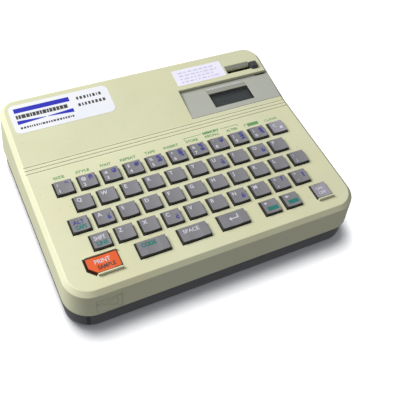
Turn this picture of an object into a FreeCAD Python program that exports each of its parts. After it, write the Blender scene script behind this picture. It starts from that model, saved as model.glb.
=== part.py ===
import FreeCAD, Part
import math
import os
import Sketcher
from FreeCAD import Placement, Rotation, Vector

# Desktop label maker: a wedge-shaped cream casing on a grey tray, a 49-key keyboard,
# a sunken display panel and a tape mechanism under the rear deck.
# Row frame: X to the user's right, Y to the rear, Z up, origin on the table under
# the middle of the casing. All lengths are in millimetres, angles in degrees.

doc = FreeCAD.newDocument("label_maker")
os.makedirs("parts", exist_ok=True)

DIMENSIONS = {
    # keyboard
    "key_pitch": 17.0, "row_pitch": 16.2, "key_width": 12.6, "key_depth": 11.8,
    "wide_key_width": 21.3, "key_proud": 2.2, "low_key_proud": 1.3, "key_travel": 1.5,
    "key_gap": 0.55, "key_flange": 0.95, "key_flange_height": 1.4, "flange_gap": 0.4,
    "key_corner": 0.9, "key_side_draft": 13.0,
    "dish_radius": 42.0, "dish_depth": 0.3, "print_key_chamfer": 4.6,
    # casing
    "side_margin": 17.7, "front_margin": 13.3, "caption_band": 21.3, "rear_deck": 60.0,
    "front_height": 40.1, "deck_angle": 2.0, "rear_angle": 10.0, "seam_height": 16.8,
    "side_draft": 4.0, "bevel": 3.0, "wall": 2.2, "front_corner": 19.0, "rear_corner": 15.0,
    "foot_height": 2.6, "seam_gap": 0.6, "tray_inset": 0.7, "tray_draft": 1.5,
    "lip_height": 2.4, "lip_wall": 1.1, "lip_gap": 0.4, "foot_radius": 6.0, "foot_inset_x": 30.0,
    "foot_inset_y": 18.0,
    "groove_width": 0.8, "groove_depth": 0.3, "groove_pitch": 3.1, "groove_setback": 1.2,
    "guard_height": 2.0, "guard_width": 1.1,
    # display panel
    "panel_width": 82.5, "panel_depth": 28.0, "panel_setback": 2.6, "panel_thickness": 3.2,
    "panel_gap": 0.3, "panel_angle": 5.0, "recess_wall": 1.8, "window_width": 35.2,
    "window_depth": 14.6,
    "window_left": 22.6, "window_front": 5.0, "window_sink": 0.8, "window_slope": 5.4,
    "window_lip": 1.2, "window_thickness": 1.0, "lcd_thickness": 3.0,
    # tape outlet
    "outlet_left": 73.0, "outlet_width": 22.0, "outlet_setback": 35.4, "outlet_depth": 1.5,
    "outlet_ramp": 3.6, "outlet_mouth": 4.4, "tape_lead": 0.8,
    "cutter_width": 5.0, "cutter_depth": 6.6, "cutter_proud": 2.4,
    "cutter_gap": 0.4, "cutter_stem": 6.5, "cutter_round": 1.8, "cutter_lead": 0.5,
    # boards under the keys
    "mat_thickness": 1.2, "mat_bump": 0.4, "mat_bump_radius": 3.0, "mat_gap": 0.2,
    "board_thickness": 1.6, "board_margin": 2.2,
    "post_radius": 2.0, "post_inset": 3.8, "post_gap": 0.3,
    "chip_length": 22.0, "chip_width": 9.0, "chip_height": 2.4,
    # batteries and underside doors
    "cell_radius": 7.1, "cell_length": 50.0, "cell_spacing": 14.8, "bay_gap": 0.5,
    "contact_room": 2.5, "contact_sheet": 0.5, "contact_radius": 2.5, "nub_radius": 2.6,
    "nub_length": 1.0, "bay_wall": 1.5, "bay_front": 14.0, "door_gap": 0.3, "ledge": 1.6,
    "rib_width": 1.2, "rib_depth": 0.6, "rib_pitch": 2.8, "rib_length": 14.0,
    # tape cassette and its drive
    "cassette_width": 22.0, "cassette_depth": 42.0, "cassette_height": 27.0,
    "cassette_gap": 0.8, "spool_radius": 5.0,
    "chassis_sheet": 1.2, "platen_radius": 4.0, "platen_shaft": 1.5, "platen_drop": 16.9,
    "plate_headroom": 4.5, "plate_lead": 2.0, "end_play": 0.3,
    "shaft_gap": 0.05, "gear_module": 0.6, "gear_addendum": 0.48, "gear_dedendum": 0.72,
    "gear_backlash": 0.024, "gear_face": 3.5, "gear_clearance": 0.4,
    "motor_radius": 10.0, "motor_length": 24.0, "motor_shaft": 1.0,
    "head_thickness": 4.0, "head_height": 12.0, "head_gap": 0.3, "fin_depth": 1.0,
    # fasteners and power inlet
    "boss_radius": 3.6, "boss_x_front": 11.0, "boss_y_front": 20.6, "boss_x_rear": 23.0,
    "boss_y_rear": 7.7, "boss_collar": 0.8, "screw_radius": 1.5, "screw_length": 22.0,
    "screw_head_radius": 3.0, "screw_head_height": 1.8,
    "jack_width": 11.0, "jack_height": 11.0, "jack_length": 13.0, "jack_bore": 2.9,
    "jack_pin": 1.0, "jack_gap": 0.6, "jack_depth": 9.0, "jack_left": 70.0, "jack_rise": 8.0,
}

# Sizes that follow from the driving dimensions.
LAYOUT = {
    "key_block": "10 * Dimensions.key_pitch + Dimensions.key_width",
    "deck_length": "Dimensions.front_margin + 4 * Dimensions.row_pitch"
                   " + Dimensions.key_depth + Dimensions.caption_band",
    "casing_width": "Layout.key_block + 2 * Dimensions.side_margin",
    "casing_depth": "Layout.deck_length * cos(Dimensions.deck_angle * 1 deg)"
                    " + Dimensions.rear_deck * cos(Dimensions.rear_angle * 1 deg)",
    "taper": "(Dimensions.front_height - Dimensions.bevel - Dimensions.seam_height)"
             " * tan(Dimensions.side_draft * 1 deg)",
    "seam_width": "Layout.casing_width + 2 * Layout.taper",
    "seam_depth": "Layout.casing_depth + 2 * Layout.taper",
    "front_edge": "-Layout.casing_depth / 2",
    # the keyboard deck's own origin: front edge of the first row, on the deck surface
    "deck_y": "Layout.front_edge + (Dimensions.front_margin + 4 * Dimensions.row_pitch)"
              " * cos(Dimensions.deck_angle * 1 deg)",
    "deck_z": "Dimensions.front_height + (Dimensions.front_margin + 4 * Dimensions.row_pitch)"
              " * sin(Dimensions.deck_angle * 1 deg)",
    # the rear deck's own origin: the break line where it starts to rise
    "rear_y": "Layout.front_edge + Layout.deck_length * cos(Dimensions.deck_angle * 1 deg)",
    "rear_z": "Dimensions.front_height + Layout.deck_length * sin(Dimensions.deck_angle * 1 deg)",
    "top_z": "Layout.rear_z + Dimensions.rear_deck * sin(Dimensions.rear_angle * 1 deg)",
    # the display panel's own origin: its front edge, on the rear deck's surface
    "panel_y": "Layout.rear_y + Dimensions.panel_setback * cos(Dimensions.rear_angle * 1 deg)",
    "panel_z": "Layout.rear_z + Dimensions.panel_setback * sin(Dimensions.rear_angle * 1 deg)",
    "panel_left": "Layout.casing_width / 2 - Dimensions.panel_width",
    "key_bottom": "Dimensions.wall + Dimensions.flange_gap + Dimensions.key_flange_height",
    "mat_top": "Layout.key_bottom + Dimensions.key_travel + Dimensions.mat_gap",
    "mat_bottom": "Layout.mat_top + Dimensions.mat_bump + Dimensions.mat_thickness",
    "floor_z": "Dimensions.foot_height + Dimensions.wall",
    "bay_length": "2 * Dimensions.cell_length + 2 * Dimensions.contact_room",
    "bay_width": "2 * Dimensions.cell_spacing + 2 * Dimensions.cell_radius"
                 " + 2 * Dimensions.bay_gap",
    "bay_y": "Layout.front_edge + Dimensions.bay_front",
    "cell_z": "Layout.floor_z + Dimensions.bay_gap + Dimensions.cell_radius",
    "bay_top": "Layout.cell_z + Dimensions.cell_radius + Dimensions.bay_gap",
    # the tape's plane, and the drive behind the cassette
    "tape_y": "Layout.rear_y + (Dimensions.outlet_setback + Dimensions.tape_lead)"
              " * cos(Dimensions.rear_angle * 1 deg)",
    "outlet_z": "Layout.rear_z + Dimensions.outlet_setback * sin(Dimensions.rear_angle * 1 deg)",
    "platen_y": "Layout.tape_y - Dimensions.platen_radius - Dimensions.head_gap / 2",
    "platen_z": "Layout.outlet_z - Dimensions.outlet_depth - Dimensions.platen_drop",
    "cassette_y": "Layout.platen_y - Dimensions.platen_radius - Dimensions.cassette_gap"
                  " - Dimensions.cassette_depth",
    "cassette_z": "Layout.floor_z + Dimensions.cassette_gap",
    "drive_top": "Layout.platen_z + Dimensions.plate_headroom",
    "plate_y": "Layout.cassette_y - Dimensions.plate_lead",
    "head_y": "Layout.tape_y + Dimensions.head_gap / 2",
    "jack_z": "Dimensions.seam_height + Dimensions.jack_rise",
    "jack_face": "Layout.seam_depth / 2 - Dimensions.jack_rise * tan(Dimensions.side_draft * 1 deg)"
                 " - Dimensions.wall / cos(Dimensions.side_draft * 1 deg) - Dimensions.jack_gap",
    "tray_width": "Layout.seam_width - 2 * Dimensions.tray_inset - 2 * (Dimensions.seam_height"
                  " - Dimensions.foot_height) * tan(Dimensions.tray_draft * 1 deg)",
    "tray_depth": "Layout.tray_width - Layout.seam_width + Layout.seam_depth",
    "lip_width": "Layout.seam_width - 2 * Dimensions.wall / cos(Dimensions.side_draft * 1 deg)"
                 " - 2 * Dimensions.lip_gap",
    "lip_depth": "Layout.lip_width - Layout.seam_width + Layout.seam_depth",
    "side_plate_x": "Dimensions.outlet_left - Dimensions.cassette_gap - Dimensions.chassis_sheet",
    "far_plate_x": "Dimensions.outlet_left + Dimensions.cassette_width + Dimensions.cassette_gap",
    "gear_x": "Layout.side_plate_x - Dimensions.gear_clearance - Dimensions.gear_face",
    "motor_face_x": "Layout.gear_x - Dimensions.gear_clearance - Dimensions.chassis_sheet",
}

IDLER_TEETH = 28
PLATEN_TEETH = 24
PINION_TEETH = 12
IDLER_DIRECTION = 238.0
PINION_DIRECTION = 180.0
PRESSURE_ANGLE = 20.0


def fill_sheet(name, rows):
    """Make a spreadsheet with one aliased cell per named size."""
    sheet = doc.addObject("Spreadsheet::Sheet", name)
    for number, (alias, content) in enumerate(rows.items(), start=1):
        sheet.set("A%d" % number, alias)
        sheet.set("B%d" % number, str(content))
        sheet.setAlias("B%d" % number, alias)
    return sheet


dimensions = fill_sheet("Dimensions", DIMENSIONS)
doc.recompute()
layout = doc.addObject("Spreadsheet::Sheet", "Layout")
for number, (alias, formula) in enumerate(LAYOUT.items(), start=1):
    cell = "B%d" % number
    layout.set("A%d" % number, alias)
    layout.set(cell, "=" + formula.replace("Layout.", ""))
    layout.setAlias(cell, alias)
    doc.recompute()


def number_of(formula):
    """Work out a formula of sheet names as a plain number."""
    result = dimensions.evalExpression(str(formula))
    return float(getattr(result, "Value", result))


def bind(target, **formulas):
    """Bind properties of an object to formulas; dots in names are written as __."""
    for name, formula in formulas.items():
        target.setExpression(name.replace("__", "."), str(formula))


def place(target, x="0", y="0", z="0"):
    """Put an object at a point of the row frame."""
    bind(target, Placement__Base__x=x, Placement__Base__y=y, Placement__Base__z=z)
    return target


def place_tilted(target, x, y, z, origin_y, origin_z, angle):
    """Put an object at a point of a frame that is tilted about X."""
    target.Placement = Placement(Vector(), Rotation(Vector(1, 0, 0), 1))
    tilt = "(%s) * 1 deg" % angle
    bind(target,
         Placement__Rotation__Angle=tilt,
         Placement__Base__x=x,
         Placement__Base__y="%s + (%s) * cos(%s) - (%s) * sin(%s)" % (origin_y, y, tilt, z, tilt),
         Placement__Base__z="%s + (%s) * sin(%s) + (%s) * cos(%s)" % (origin_z, y, tilt, z, tilt))
    return target


def on_deck(target, x="0", y="0", z="0"):
    return place_tilted(target, x, y, z, "Layout.deck_y", "Layout.deck_z", "Dimensions.deck_angle")


def on_rear_deck(target, x="0", y="0", z="0"):
    return place_tilted(target, x, y, z, "Layout.rear_y", "Layout.rear_z", "Dimensions.rear_angle")


def on_panel(target, x="0", y="0", z="0"):
    return place_tilted(target, x, y, z, "Layout.panel_y", "Layout.panel_z",
                        "Dimensions.panel_angle")


def box(name, length, width, height):
    block = doc.addObject("Part::Box", name)
    bind(block, Length=length, Width=width, Height=height)
    return block


def cylinder(name, radius, height):
    rod = doc.addObject("Part::Cylinder", name)
    bind(rod, Radius=radius, Height=height)
    return rod


def rod_along_x(name, radius, length, x, y, z):
    """Make a cylinder whose axis runs along X from the given point."""
    rod = cylinder(name, radius, length)
    rod.Placement = Placement(Vector(), Rotation(Vector(0, 1, 0), 90))
    return place(rod, x, y, z)


def rod_along_y(name, radius, length, x, y, z):
    """Make a cylinder whose axis runs along Y from the given point."""
    rod = cylinder(name, radius, length)
    rod.Placement = Placement(Vector(), Rotation(Vector(1, 0, 0), -90))
    return place(rod, x, y, z)


def fuse(name, pieces):
    joined = doc.addObject("Part::MultiFuse", name)
    joined.Shapes = pieces
    return joined


def group(name, pieces):
    held = doc.addObject("Part::Compound", name)
    held.Links = pieces
    return held


def cut(name, base, tool):
    remainder = doc.addObject("Part::Cut", name)
    remainder.Base = base
    remainder.Tool = tool
    return remainder


def common(name, base, tool):
    shared = doc.addObject("Part::Common", name)
    shared.Base = base
    shared.Tool = tool
    return shared


def plane_of(body, role):
    return next(item for item in body.Origin.OriginFeatures if item.Role == role)


def new_sketch(body, name, role, lift="0"):
    """Make a sketch on one of a body's origin planes, lifted along its normal."""
    sketch = body.newObject("Sketcher::SketchObject", name)
    sketch.AttachmentSupport = [(plane_of(body, role), "")]
    sketch.MapMode = "FlatFace"
    sketch.setExpression("AttachmentOffset.Base.z", str(lift))
    return sketch


def add_polygon(sketch, corners):
    """Draw a closed outline of straight lines; each corner is a pair of formulas."""
    points = [Vector(number_of(u), number_of(v), 0) for u, v in corners]
    count = len(points)
    first = sketch.GeometryCount
    for index in range(count):
        sketch.addGeometry(Part.LineSegment(points[index], points[(index + 1) % count]), False)
    for index in range(count):
        following = first + (index + 1) % count
        sketch.addConstraint(Sketcher.Constraint("Coincident", first + index, 2, following, 1))
    for index, (u, v) in enumerate(corners):
        for kind, formula, value in (("DistanceX", u, points[index].x),
                                     ("DistanceY", v, points[index].y)):
            row = sketch.addConstraint(
                Sketcher.Constraint(kind, -1, 1, first + index, 1, value))
            sketch.setExpression("Constraints[%d]" % row, str(formula))


def add_rounded_outline(sketch, width, depth, front_radius, rear_radius):
    """Draw a rectangle about the origin with its front and rear corners rounded."""
    half_x = number_of(width) / 2
    half_y = number_of(depth) / 2
    radii = (number_of(front_radius), number_of(front_radius),
             number_of(rear_radius), number_of(rear_radius))
    signs = ((-1, -1), (1, -1), (1, 1), (-1, 1))
    centres = [Vector(sx * (half_x - r), sy * (half_y - r), 0)
               for (sx, sy), r in zip(signs, radii)]
    z_axis = Vector(0, 0, 1)
    start_angles = (math.pi, 1.5 * math.pi, 0.0, 0.5 * math.pi)
    first = sketch.GeometryCount
    for centre, radius, start in zip(centres, radii, start_angles):
        circle = Part.Circle(centre, z_axis, radius)
        sketch.addGeometry(Part.ArcOfCircle(circle, start, start + math.pi / 2), False)
    ends = ((0, 1), (1, 2), (2, 3), (3, 0))
    for here, there in ends:
        start = sketch.getPoint(first + here, 2)
        finish = sketch.getPoint(first + there, 1)
        line = sketch.addGeometry(Part.LineSegment(start, finish), False)
        sketch.addConstraint(Sketcher.Constraint("Tangent", first + here, 2, line, 1))
        sketch.addConstraint(Sketcher.Constraint("Tangent", line, 2, first + there, 1))
    front, right, rear, left = (first + 4, first + 5, first + 6, first + 7)
    sketch.addConstraint(Sketcher.Constraint("Horizontal", front))
    sketch.addConstraint(Sketcher.Constraint("Horizontal", rear))
    sketch.addConstraint(Sketcher.Constraint("Vertical", left))
    sketch.addConstraint(Sketcher.Constraint("Vertical", right))
    places = (("DistanceX", left, "-(%s) / 2" % width), ("DistanceX", right, "(%s) / 2" % width),
              ("DistanceY", front, "-(%s) / 2" % depth), ("DistanceY", rear, "(%s) / 2" % depth))
    for kind, line, formula in places:
        row = sketch.addConstraint(
            Sketcher.Constraint(kind, -1, 1, line, 1, number_of(formula)))
        sketch.setExpression("Constraints[%d]" % row, formula)
    for corner, formula in enumerate((front_radius, front_radius, rear_radius, rear_radius)):
        row = sketch.addConstraint(
            Sketcher.Constraint("Radius", first + corner, number_of(formula)))
        sketch.setExpression("Constraints[%d]" % row, str(formula))


def pad(body, sketch, length, draft=None):
    """Extrude a sketch; a draft in degrees narrows it on the way up."""
    feature = body.newObject("PartDesign::Pad", sketch.Name + "_pad")
    feature.Profile = sketch
    bind(feature, Length=length)
    if draft is not None:
        bind(feature, TaperAngle="-(%s)" % draft)
    return feature


def edges_where(shape, test):
    return ["Edge%d" % (index + 1) for index, edge in enumerate(shape.Edges) if test(edge)]


def is_upright(edge):
    """True for an edge that runs mostly along Z."""
    ends = [vertex.Point for vertex in edge.Vertexes]
    if len(ends) < 2:
        return False
    run = ends[1] - ends[0]
    return abs(run.z) > 0.9 * run.Length > 0


def prism(name, corners, start, length):
    """Extrude a YZ outline along X from start; corners are pairs of formulas."""
    body = doc.addObject("PartDesign::Body", name)
    sketch = new_sketch(body, name + "_outline", "YZ_Plane", start)
    add_polygon(sketch, corners)
    pad(body, sketch, length)
    return body


# --- keys -------------------------------------------------------------------------------

ROWS = (
    (0, 0.0, ("digit_1", "digit_2", "digit_3", "digit_4", "digit_5", "digit_6", "digit_7",
              "digit_8", "digit_9", "digit_0", "clear")),
    (1, 0.5, tuple("qwertyuiop")),
    (2, 0.0, ("alt",) + tuple("asdfghjkl") + ("semicolon",)),
    (3, 0.5, ("shift",) + tuple("zxcvbnm") + ("comma", "period")),
)
BOTTOM_ROW = (("print", 0.25), ("code", 2.25), ("space", 4.0), ("return", 5.75),
              ("left_arrow", 7.5), ("right_arrow", 8.5), ("on_off", 10.0))
WIDE_KEYS = ("print", "code", "space", "return")
LOW_KEYS = ("print", "on_off")
KEY_GROUPS = {
    "digit_keys": tuple("digit_%d" % digit for digit in (1, 2, 3, 4, 5, 6, 7, 8, 9, 0)),
    "punctuation_keys": ("semicolon", "comma", "period"),
    "arrow_keys": ("left_arrow", "right_arrow"),
}


def key_places():
    """List every key as (name, column, row), columns counted from the left key's centre."""
    places = [(name, first + index, row) for row, first, names in ROWS
              for index, name in enumerate(names)]
    return places + [(name, column, 4) for name, column in BOTTOM_ROW]


def key_width_of(name):
    return "Dimensions.wide_key_width" if name in WIDE_KEYS else "Dimensions.key_width"


def key_proud_of(name):
    return "Dimensions.low_key_proud" if name in LOW_KEYS else "Dimensions.key_proud"


def key_x(column):
    return "%s * Dimensions.key_pitch - 5 * Dimensions.key_pitch" % column


def key_y(row):
    return "Dimensions.key_depth / 2 - %d * Dimensions.row_pitch" % row


def key_outline(name, width, depth):
    """Corners of a key's footprint; the print key has its front left corner cut off."""
    half_x = "(%s) / 2" % width
    half_y = "(%s) / 2" % depth
    corners = [("-%s" % half_x, "-%s" % half_y), (half_x, "-%s" % half_y),
               (half_x, half_y), ("-%s" % half_x, half_y)]
    if name == "print":
        cut_off = "Dimensions.print_key_chamfer"
        corners[:1] = [("-%s" % half_x, "-%s + %s" % (half_y, cut_off)),
                       ("-%s + %s" % (half_x, cut_off), "-%s" % half_y)]
    return corners


def make_key(name, column, row):
    """Make a key: a drafted cap with a dished top, and a flange under the deck."""
    width = key_width_of(name)
    proud = key_proud_of(name)
    body = doc.addObject("PartDesign::Body", "key_" + name)
    outline = new_sketch(body, "cap_" + name, "XY_Plane", "-Layout.key_bottom")
    add_polygon(outline, key_outline(name, width, "Dimensions.key_depth"))
    pad(body, outline, "Layout.key_bottom")
    skirt = new_sketch(body, "skirt_" + name, "XY_Plane", "0")
    add_polygon(skirt, key_outline(name, width, "Dimensions.key_depth"))
    pad(body, skirt, proud, "Dimensions.key_side_draft")
    doc.recompute()
    blank = body.Tip
    corners = body.newObject("PartDesign::Fillet", "corners_" + name)
    corners.Base = (blank, edges_where(blank.Shape, is_upright))
    bind(corners, Radius="Dimensions.key_corner")
    dish = body.newObject("PartDesign::SubtractiveCylinder", "dish_" + name)
    dish.AttachmentSupport = [(plane_of(body, "XZ_Plane"), "")]
    dish.MapMode = "FlatFace"
    bind(dish, Radius="Dimensions.dish_radius", Height="2 * Dimensions.key_depth",
         AttachmentOffset__Base__y="%s - Dimensions.dish_depth + Dimensions.dish_radius" % proud,
         AttachmentOffset__Base__z="-Dimensions.key_depth")
    flange = new_sketch(body, "flange_" + name, "XY_Plane", "-Layout.key_bottom")
    add_polygon(flange, key_outline(name, "%s + 2 * Dimensions.key_flange" % width,
                                    "Dimensions.key_depth + 2 * Dimensions.key_flange"))
    pad(body, flange, "Dimensions.key_flange_height")
    return on_deck(body, key_x(column), key_y(row))


def make_key_hole(name, column, row):
    """Make the cutter for a key's opening, with the clearance all round."""
    body = doc.addObject("PartDesign::Body", "hole_" + name)
    sketch = new_sketch(body, "hole_outline_" + name, "XY_Plane", "-2 * Dimensions.wall")
    gap = "2 * Dimensions.key_gap"
    add_polygon(sketch, key_outline(name, "%s + %s" % (key_width_of(name), gap),
                                    "Dimensions.key_depth + %s" % gap))
    pad(body, sketch, "4 * Dimensions.wall")
    return on_deck(body, key_x(column), key_y(row))


keys = {}
key_holes = []
for key_name, key_column, key_row in key_places():
    keys[key_name] = make_key(key_name, key_column, key_row)
    key_holes.append(make_key_hole(key_name, key_column, key_row))

nodes = {}
grouped = [name for names in KEY_GROUPS.values() for name in names]
for node_name, names in KEY_GROUPS.items():
    nodes[node_name] = group(node_name, [keys[name] for name in names])
for key_name, key in keys.items():
    if key_name not in grouped:
        nodes["key_" + key_name] = key


# --- casings ----------------------------------------------------------------------------

def wedge_solid(name, start, inset):
    """Make the casing's drafted, bevelled wedge; inset moves every wall and deck inwards."""
    body = doc.addObject("PartDesign::Body", name)
    outline = new_sketch(body, name + "_outline", "XY_Plane", start)
    shrink = "2 * (%s) / cos(Dimensions.side_draft * 1 deg)" % inset
    drop = "2 * (%s - Dimensions.seam_height) * tan(Dimensions.side_draft * 1 deg)" % start
    add_rounded_outline(outline, "Layout.seam_width - %s - %s" % (shrink, drop),
                        "Layout.seam_depth - %s - %s" % (shrink, drop),
                        "Dimensions.front_corner - %s" % inset,
                        "Dimensions.rear_corner - %s" % inset)
    pad(body, outline, "Layout.top_z - (%s) + Dimensions.bevel" % start, "Dimensions.side_draft")
    profile = new_sketch(body, name + "_profile", "YZ_Plane")
    reach = "Dimensions.front_corner"
    front_drop = "(%s) / cos(Dimensions.deck_angle * 1 deg)" % inset
    rear_drop = "(%s) / cos(Dimensions.rear_angle * 1 deg)" % inset
    add_polygon(profile, [
        ("Layout.front_edge - %s" % reach, "Dimensions.front_height - %s"
         " - %s * tan(Dimensions.deck_angle * 1 deg)" % (front_drop, reach)),
        ("Layout.rear_y", "Layout.rear_z - %s" % front_drop),
        ("-Layout.front_edge + %s" % reach, "Layout.top_z - %s"
         " + %s * tan(Dimensions.rear_angle * 1 deg)" % (rear_drop, reach)),
        ("-Layout.front_edge + %s" % reach, "2 * Layout.top_z"),
        ("Layout.front_edge - %s" % reach, "2 * Layout.top_z")])
    trim = body.newObject("PartDesign::Pocket", name + "_trim")
    trim.Profile = profile
    trim.Type = "ThroughAll"
    trim.Midplane = True
    doc.recompute()
    rim = body.newObject("PartDesign::Chamfer", name + "_rim")
    rim.Base = (trim, edges_where(trim.Shape, lambda edge: is_deck_rim(edge, trim.Shape)))
    bind(rim, Size="Dimensions.bevel")
    return body


def is_deck_rim(edge, shape):
    """True for an edge shared by a deck and a side wall, seen from the faces' slopes."""
    slopes = []
    for face in shape.ancestorsOfType(edge, Part.Face):
        u_low, u_high, v_low, v_high = face.ParameterRange
        slopes.append(abs(face.normalAt((u_low + u_high) / 2, (v_low + v_high) / 2).z))
    middle = edge.valueAt((edge.FirstParameter + edge.LastParameter) / 2)
    return (len(slopes) == 2 and max(slopes) > 0.9 and min(slopes) < 0.5
            and middle.z > number_of("Dimensions.front_height") - 2 * number_of("Dimensions.bevel"))


def drafted_plate(name, width, depth, corner_inset, start, height, draft="0"):
    """Make a rounded prism of the casing's plan, its corners following the inset."""
    body = doc.addObject("PartDesign::Body", name)
    outline = new_sketch(body, name + "_outline", "XY_Plane", start)
    add_rounded_outline(outline, width, depth, "Dimensions.front_corner - %s" % corner_inset,
                        "Dimensions.rear_corner - %s" % corner_inset)
    pad(body, outline, height, draft)
    return body


def screw_places():
    """Return the four screw positions as formula pairs, front pair first."""
    front = ("Layout.casing_width / 2 - Dimensions.boss_x_front",
             "Layout.front_edge + Dimensions.boss_y_front")
    rear = ("Layout.casing_width / 2 - Dimensions.boss_x_rear",
            "-Layout.front_edge - Dimensions.boss_y_rear")
    return [("%s(%s)" % (sign, x), y) for x, y in (front, rear) for sign in ("-", "")]


def deck_height_at(y):
    """Height of the casing's decks above the table at a formula y, front or rear."""
    if number_of(y) < number_of("Layout.rear_y"):
        return "Dimensions.front_height + (%s - Layout.front_edge)" \
               " * tan(Dimensions.deck_angle * 1 deg)" % y
    return "Layout.rear_z + (%s - Layout.rear_y) * tan(Dimensions.rear_angle * 1 deg)" % y


casing_block = wedge_solid("casing_block", "Dimensions.seam_height", "0")
casing_core = wedge_solid("casing_core", "Dimensions.seam_height - Dimensions.wall",
                          "Dimensions.wall")
casing_shell = cut("casing_shell", casing_block, casing_core)

past_side = "Dimensions.panel_width + Dimensions.front_corner"
recess_block = on_panel(
    box("recess_block", past_side + " + Dimensions.recess_wall",
        "Dimensions.panel_depth + 2 * Dimensions.recess_wall",
        "Dimensions.panel_thickness + Dimensions.recess_wall + Dimensions.panel_depth"),
    "Layout.panel_left - Dimensions.recess_wall", "-Dimensions.recess_wall",
    "-Dimensions.panel_thickness - Dimensions.recess_wall")
recess_housing = common("recess_housing", recess_block, casing_block)
panel_pocket = on_panel(
    box("panel_pocket", past_side, "Dimensions.panel_depth",
        "Dimensions.panel_thickness + Dimensions.panel_depth"),
    "Layout.panel_left", "0", "-Dimensions.panel_thickness")
panel_light = on_panel(
    box("panel_light", "Dimensions.panel_width - Dimensions.wall - 3 * Dimensions.ledge",
        "Dimensions.panel_depth - 2 * Dimensions.ledge", "3 * Dimensions.panel_thickness"),
    "Layout.panel_left + Dimensions.ledge", "Dimensions.ledge", "-2 * Dimensions.panel_thickness")

outlet_block = on_rear_deck(
    box("outlet_block", "Dimensions.outlet_width + 2 * Dimensions.recess_wall",
        "Dimensions.outlet_ramp + Dimensions.outlet_mouth + 2 * Dimensions.recess_wall",
        "Dimensions.outlet_depth + Dimensions.recess_wall + Dimensions.bevel"),
    "Dimensions.outlet_left - Dimensions.recess_wall",
    "Dimensions.outlet_setback - Dimensions.recess_wall",
    "-Dimensions.outlet_depth - Dimensions.recess_wall")
outlet_housing = common("outlet_housing", outlet_block, casing_block)
outlet_ramp = on_rear_deck(
    prism("outlet_ramp", [
        ("Dimensions.outlet_setback", "-Dimensions.outlet_depth"),
        ("Dimensions.outlet_setback + Dimensions.outlet_mouth", "-Dimensions.outlet_depth"),
        ("Dimensions.outlet_setback + Dimensions.outlet_mouth + Dimensions.outlet_ramp", "0"),
        ("Dimensions.outlet_setback + Dimensions.outlet_mouth + Dimensions.outlet_ramp",
         "Dimensions.bevel"),
        ("Dimensions.outlet_setback", "Dimensions.bevel")],
        "Dimensions.outlet_left", "Dimensions.outlet_width"))
outlet_mouth = on_rear_deck(
    box("outlet_mouth", "Dimensions.outlet_width", "Dimensions.outlet_mouth",
        "2 * Dimensions.outlet_depth + Dimensions.wall"),
    "Dimensions.outlet_left", "Dimensions.outlet_setback",
    "-2 * Dimensions.outlet_depth - Dimensions.wall")

CUTTER_X = "Dimensions.outlet_left + Dimensions.outlet_width + Dimensions.cutter_gap"
CUTTER_Y = "Dimensions.outlet_setback - Dimensions.cutter_lead"
cutter_hole = on_rear_deck(
    box("cutter_hole", "Dimensions.cutter_width + 2 * Dimensions.cutter_gap",
        "Dimensions.cutter_depth + 2 * Dimensions.cutter_gap",
        "3 * Dimensions.wall + Dimensions.outlet_depth"),
    CUTTER_X + " - Dimensions.cutter_gap", CUTTER_Y + " - Dimensions.cutter_gap",
    "-2 * Dimensions.wall - Dimensions.outlet_depth")

grooves = [
    on_deck(box("groove_%d" % line, "2 * Layout.casing_width", "Dimensions.groove_width",
                "Dimensions.groove_depth + Dimensions.bevel"),
            "-Layout.casing_width",
            "Dimensions.key_depth + Dimensions.caption_band - Dimensions.groove_setback"
            " - Dimensions.groove_width - %d * Dimensions.groove_pitch" % line,
            "-Dimensions.groove_depth")
    for line in range(3)]

bosses = []
pilots = []
standoffs = []
screw_holes = []
head_seats = []
screws = []
for index, (x, y) in enumerate(screw_places()):
    boss = cylinder("boss_%d" % index, "Dimensions.boss_radius",
                    "%s - Dimensions.wall / 2 - Dimensions.seam_height" % deck_height_at(y))
    bosses.append(place(boss, x, y, "Dimensions.seam_height"))
    pilot = cylinder("pilot_%d" % index, "Dimensions.screw_radius + Dimensions.shaft_gap",
                     "Dimensions.screw_length")
    pilots.append(place(pilot, x, y, "Dimensions.foot_height + Dimensions.screw_head_height"))
    standoff = cylinder("standoff_%d" % index, "Dimensions.boss_radius + Dimensions.boss_collar",
                        "Dimensions.seam_height - Dimensions.foot_height")
    standoffs.append(place(standoff, x, y, "Dimensions.foot_height"))
    hole = cylinder("screw_hole_%d" % index, "Dimensions.screw_radius + Dimensions.post_gap",
                    "Dimensions.seam_height")
    screw_holes.append(place(hole, x, y, "Dimensions.foot_height"))
    seat = cylinder("head_seat_%d" % index, "Dimensions.screw_head_radius + Dimensions.post_gap",
                    "Dimensions.screw_head_height")
    head_seats.append(place(seat, x, y, "Dimensions.foot_height"))
    shank = cylinder("shank_%d" % index, "Dimensions.screw_radius",
                     "Dimensions.screw_length - Dimensions.screw_radius")
    place(shank, x, y, "Dimensions.foot_height + Dimensions.screw_head_height")
    head = cylinder("head_%d" % index, "Dimensions.screw_head_radius",
                    "Dimensions.screw_head_height - Dimensions.shaft_gap")
    place(head, x, y, "Dimensions.foot_height + Dimensions.shaft_gap")
    blank = fuse("screw_blank_%d" % index, [shank, head])
    slots = []
    for arm, (length, width) in enumerate((("2 * Dimensions.screw_radius", "Dimensions.post_gap"),
                                           ("Dimensions.post_gap", "2 * Dimensions.screw_radius"))):
        slot = box("drive_%d_%d" % (index, arm), "2 * (%s)" % length, "2 * (%s)" % width,
                   "Dimensions.screw_head_height / 2")
        slots.append(place(slot, "%s - (%s)" % (x, length), "%s - (%s)" % (y, width),
                           "Dimensions.foot_height"))
    screws.append(cut("screw_%d" % index, blank, fuse("cross_%d" % index, slots)))
nodes["case_screws"] = group("case_screws", screws)

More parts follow.
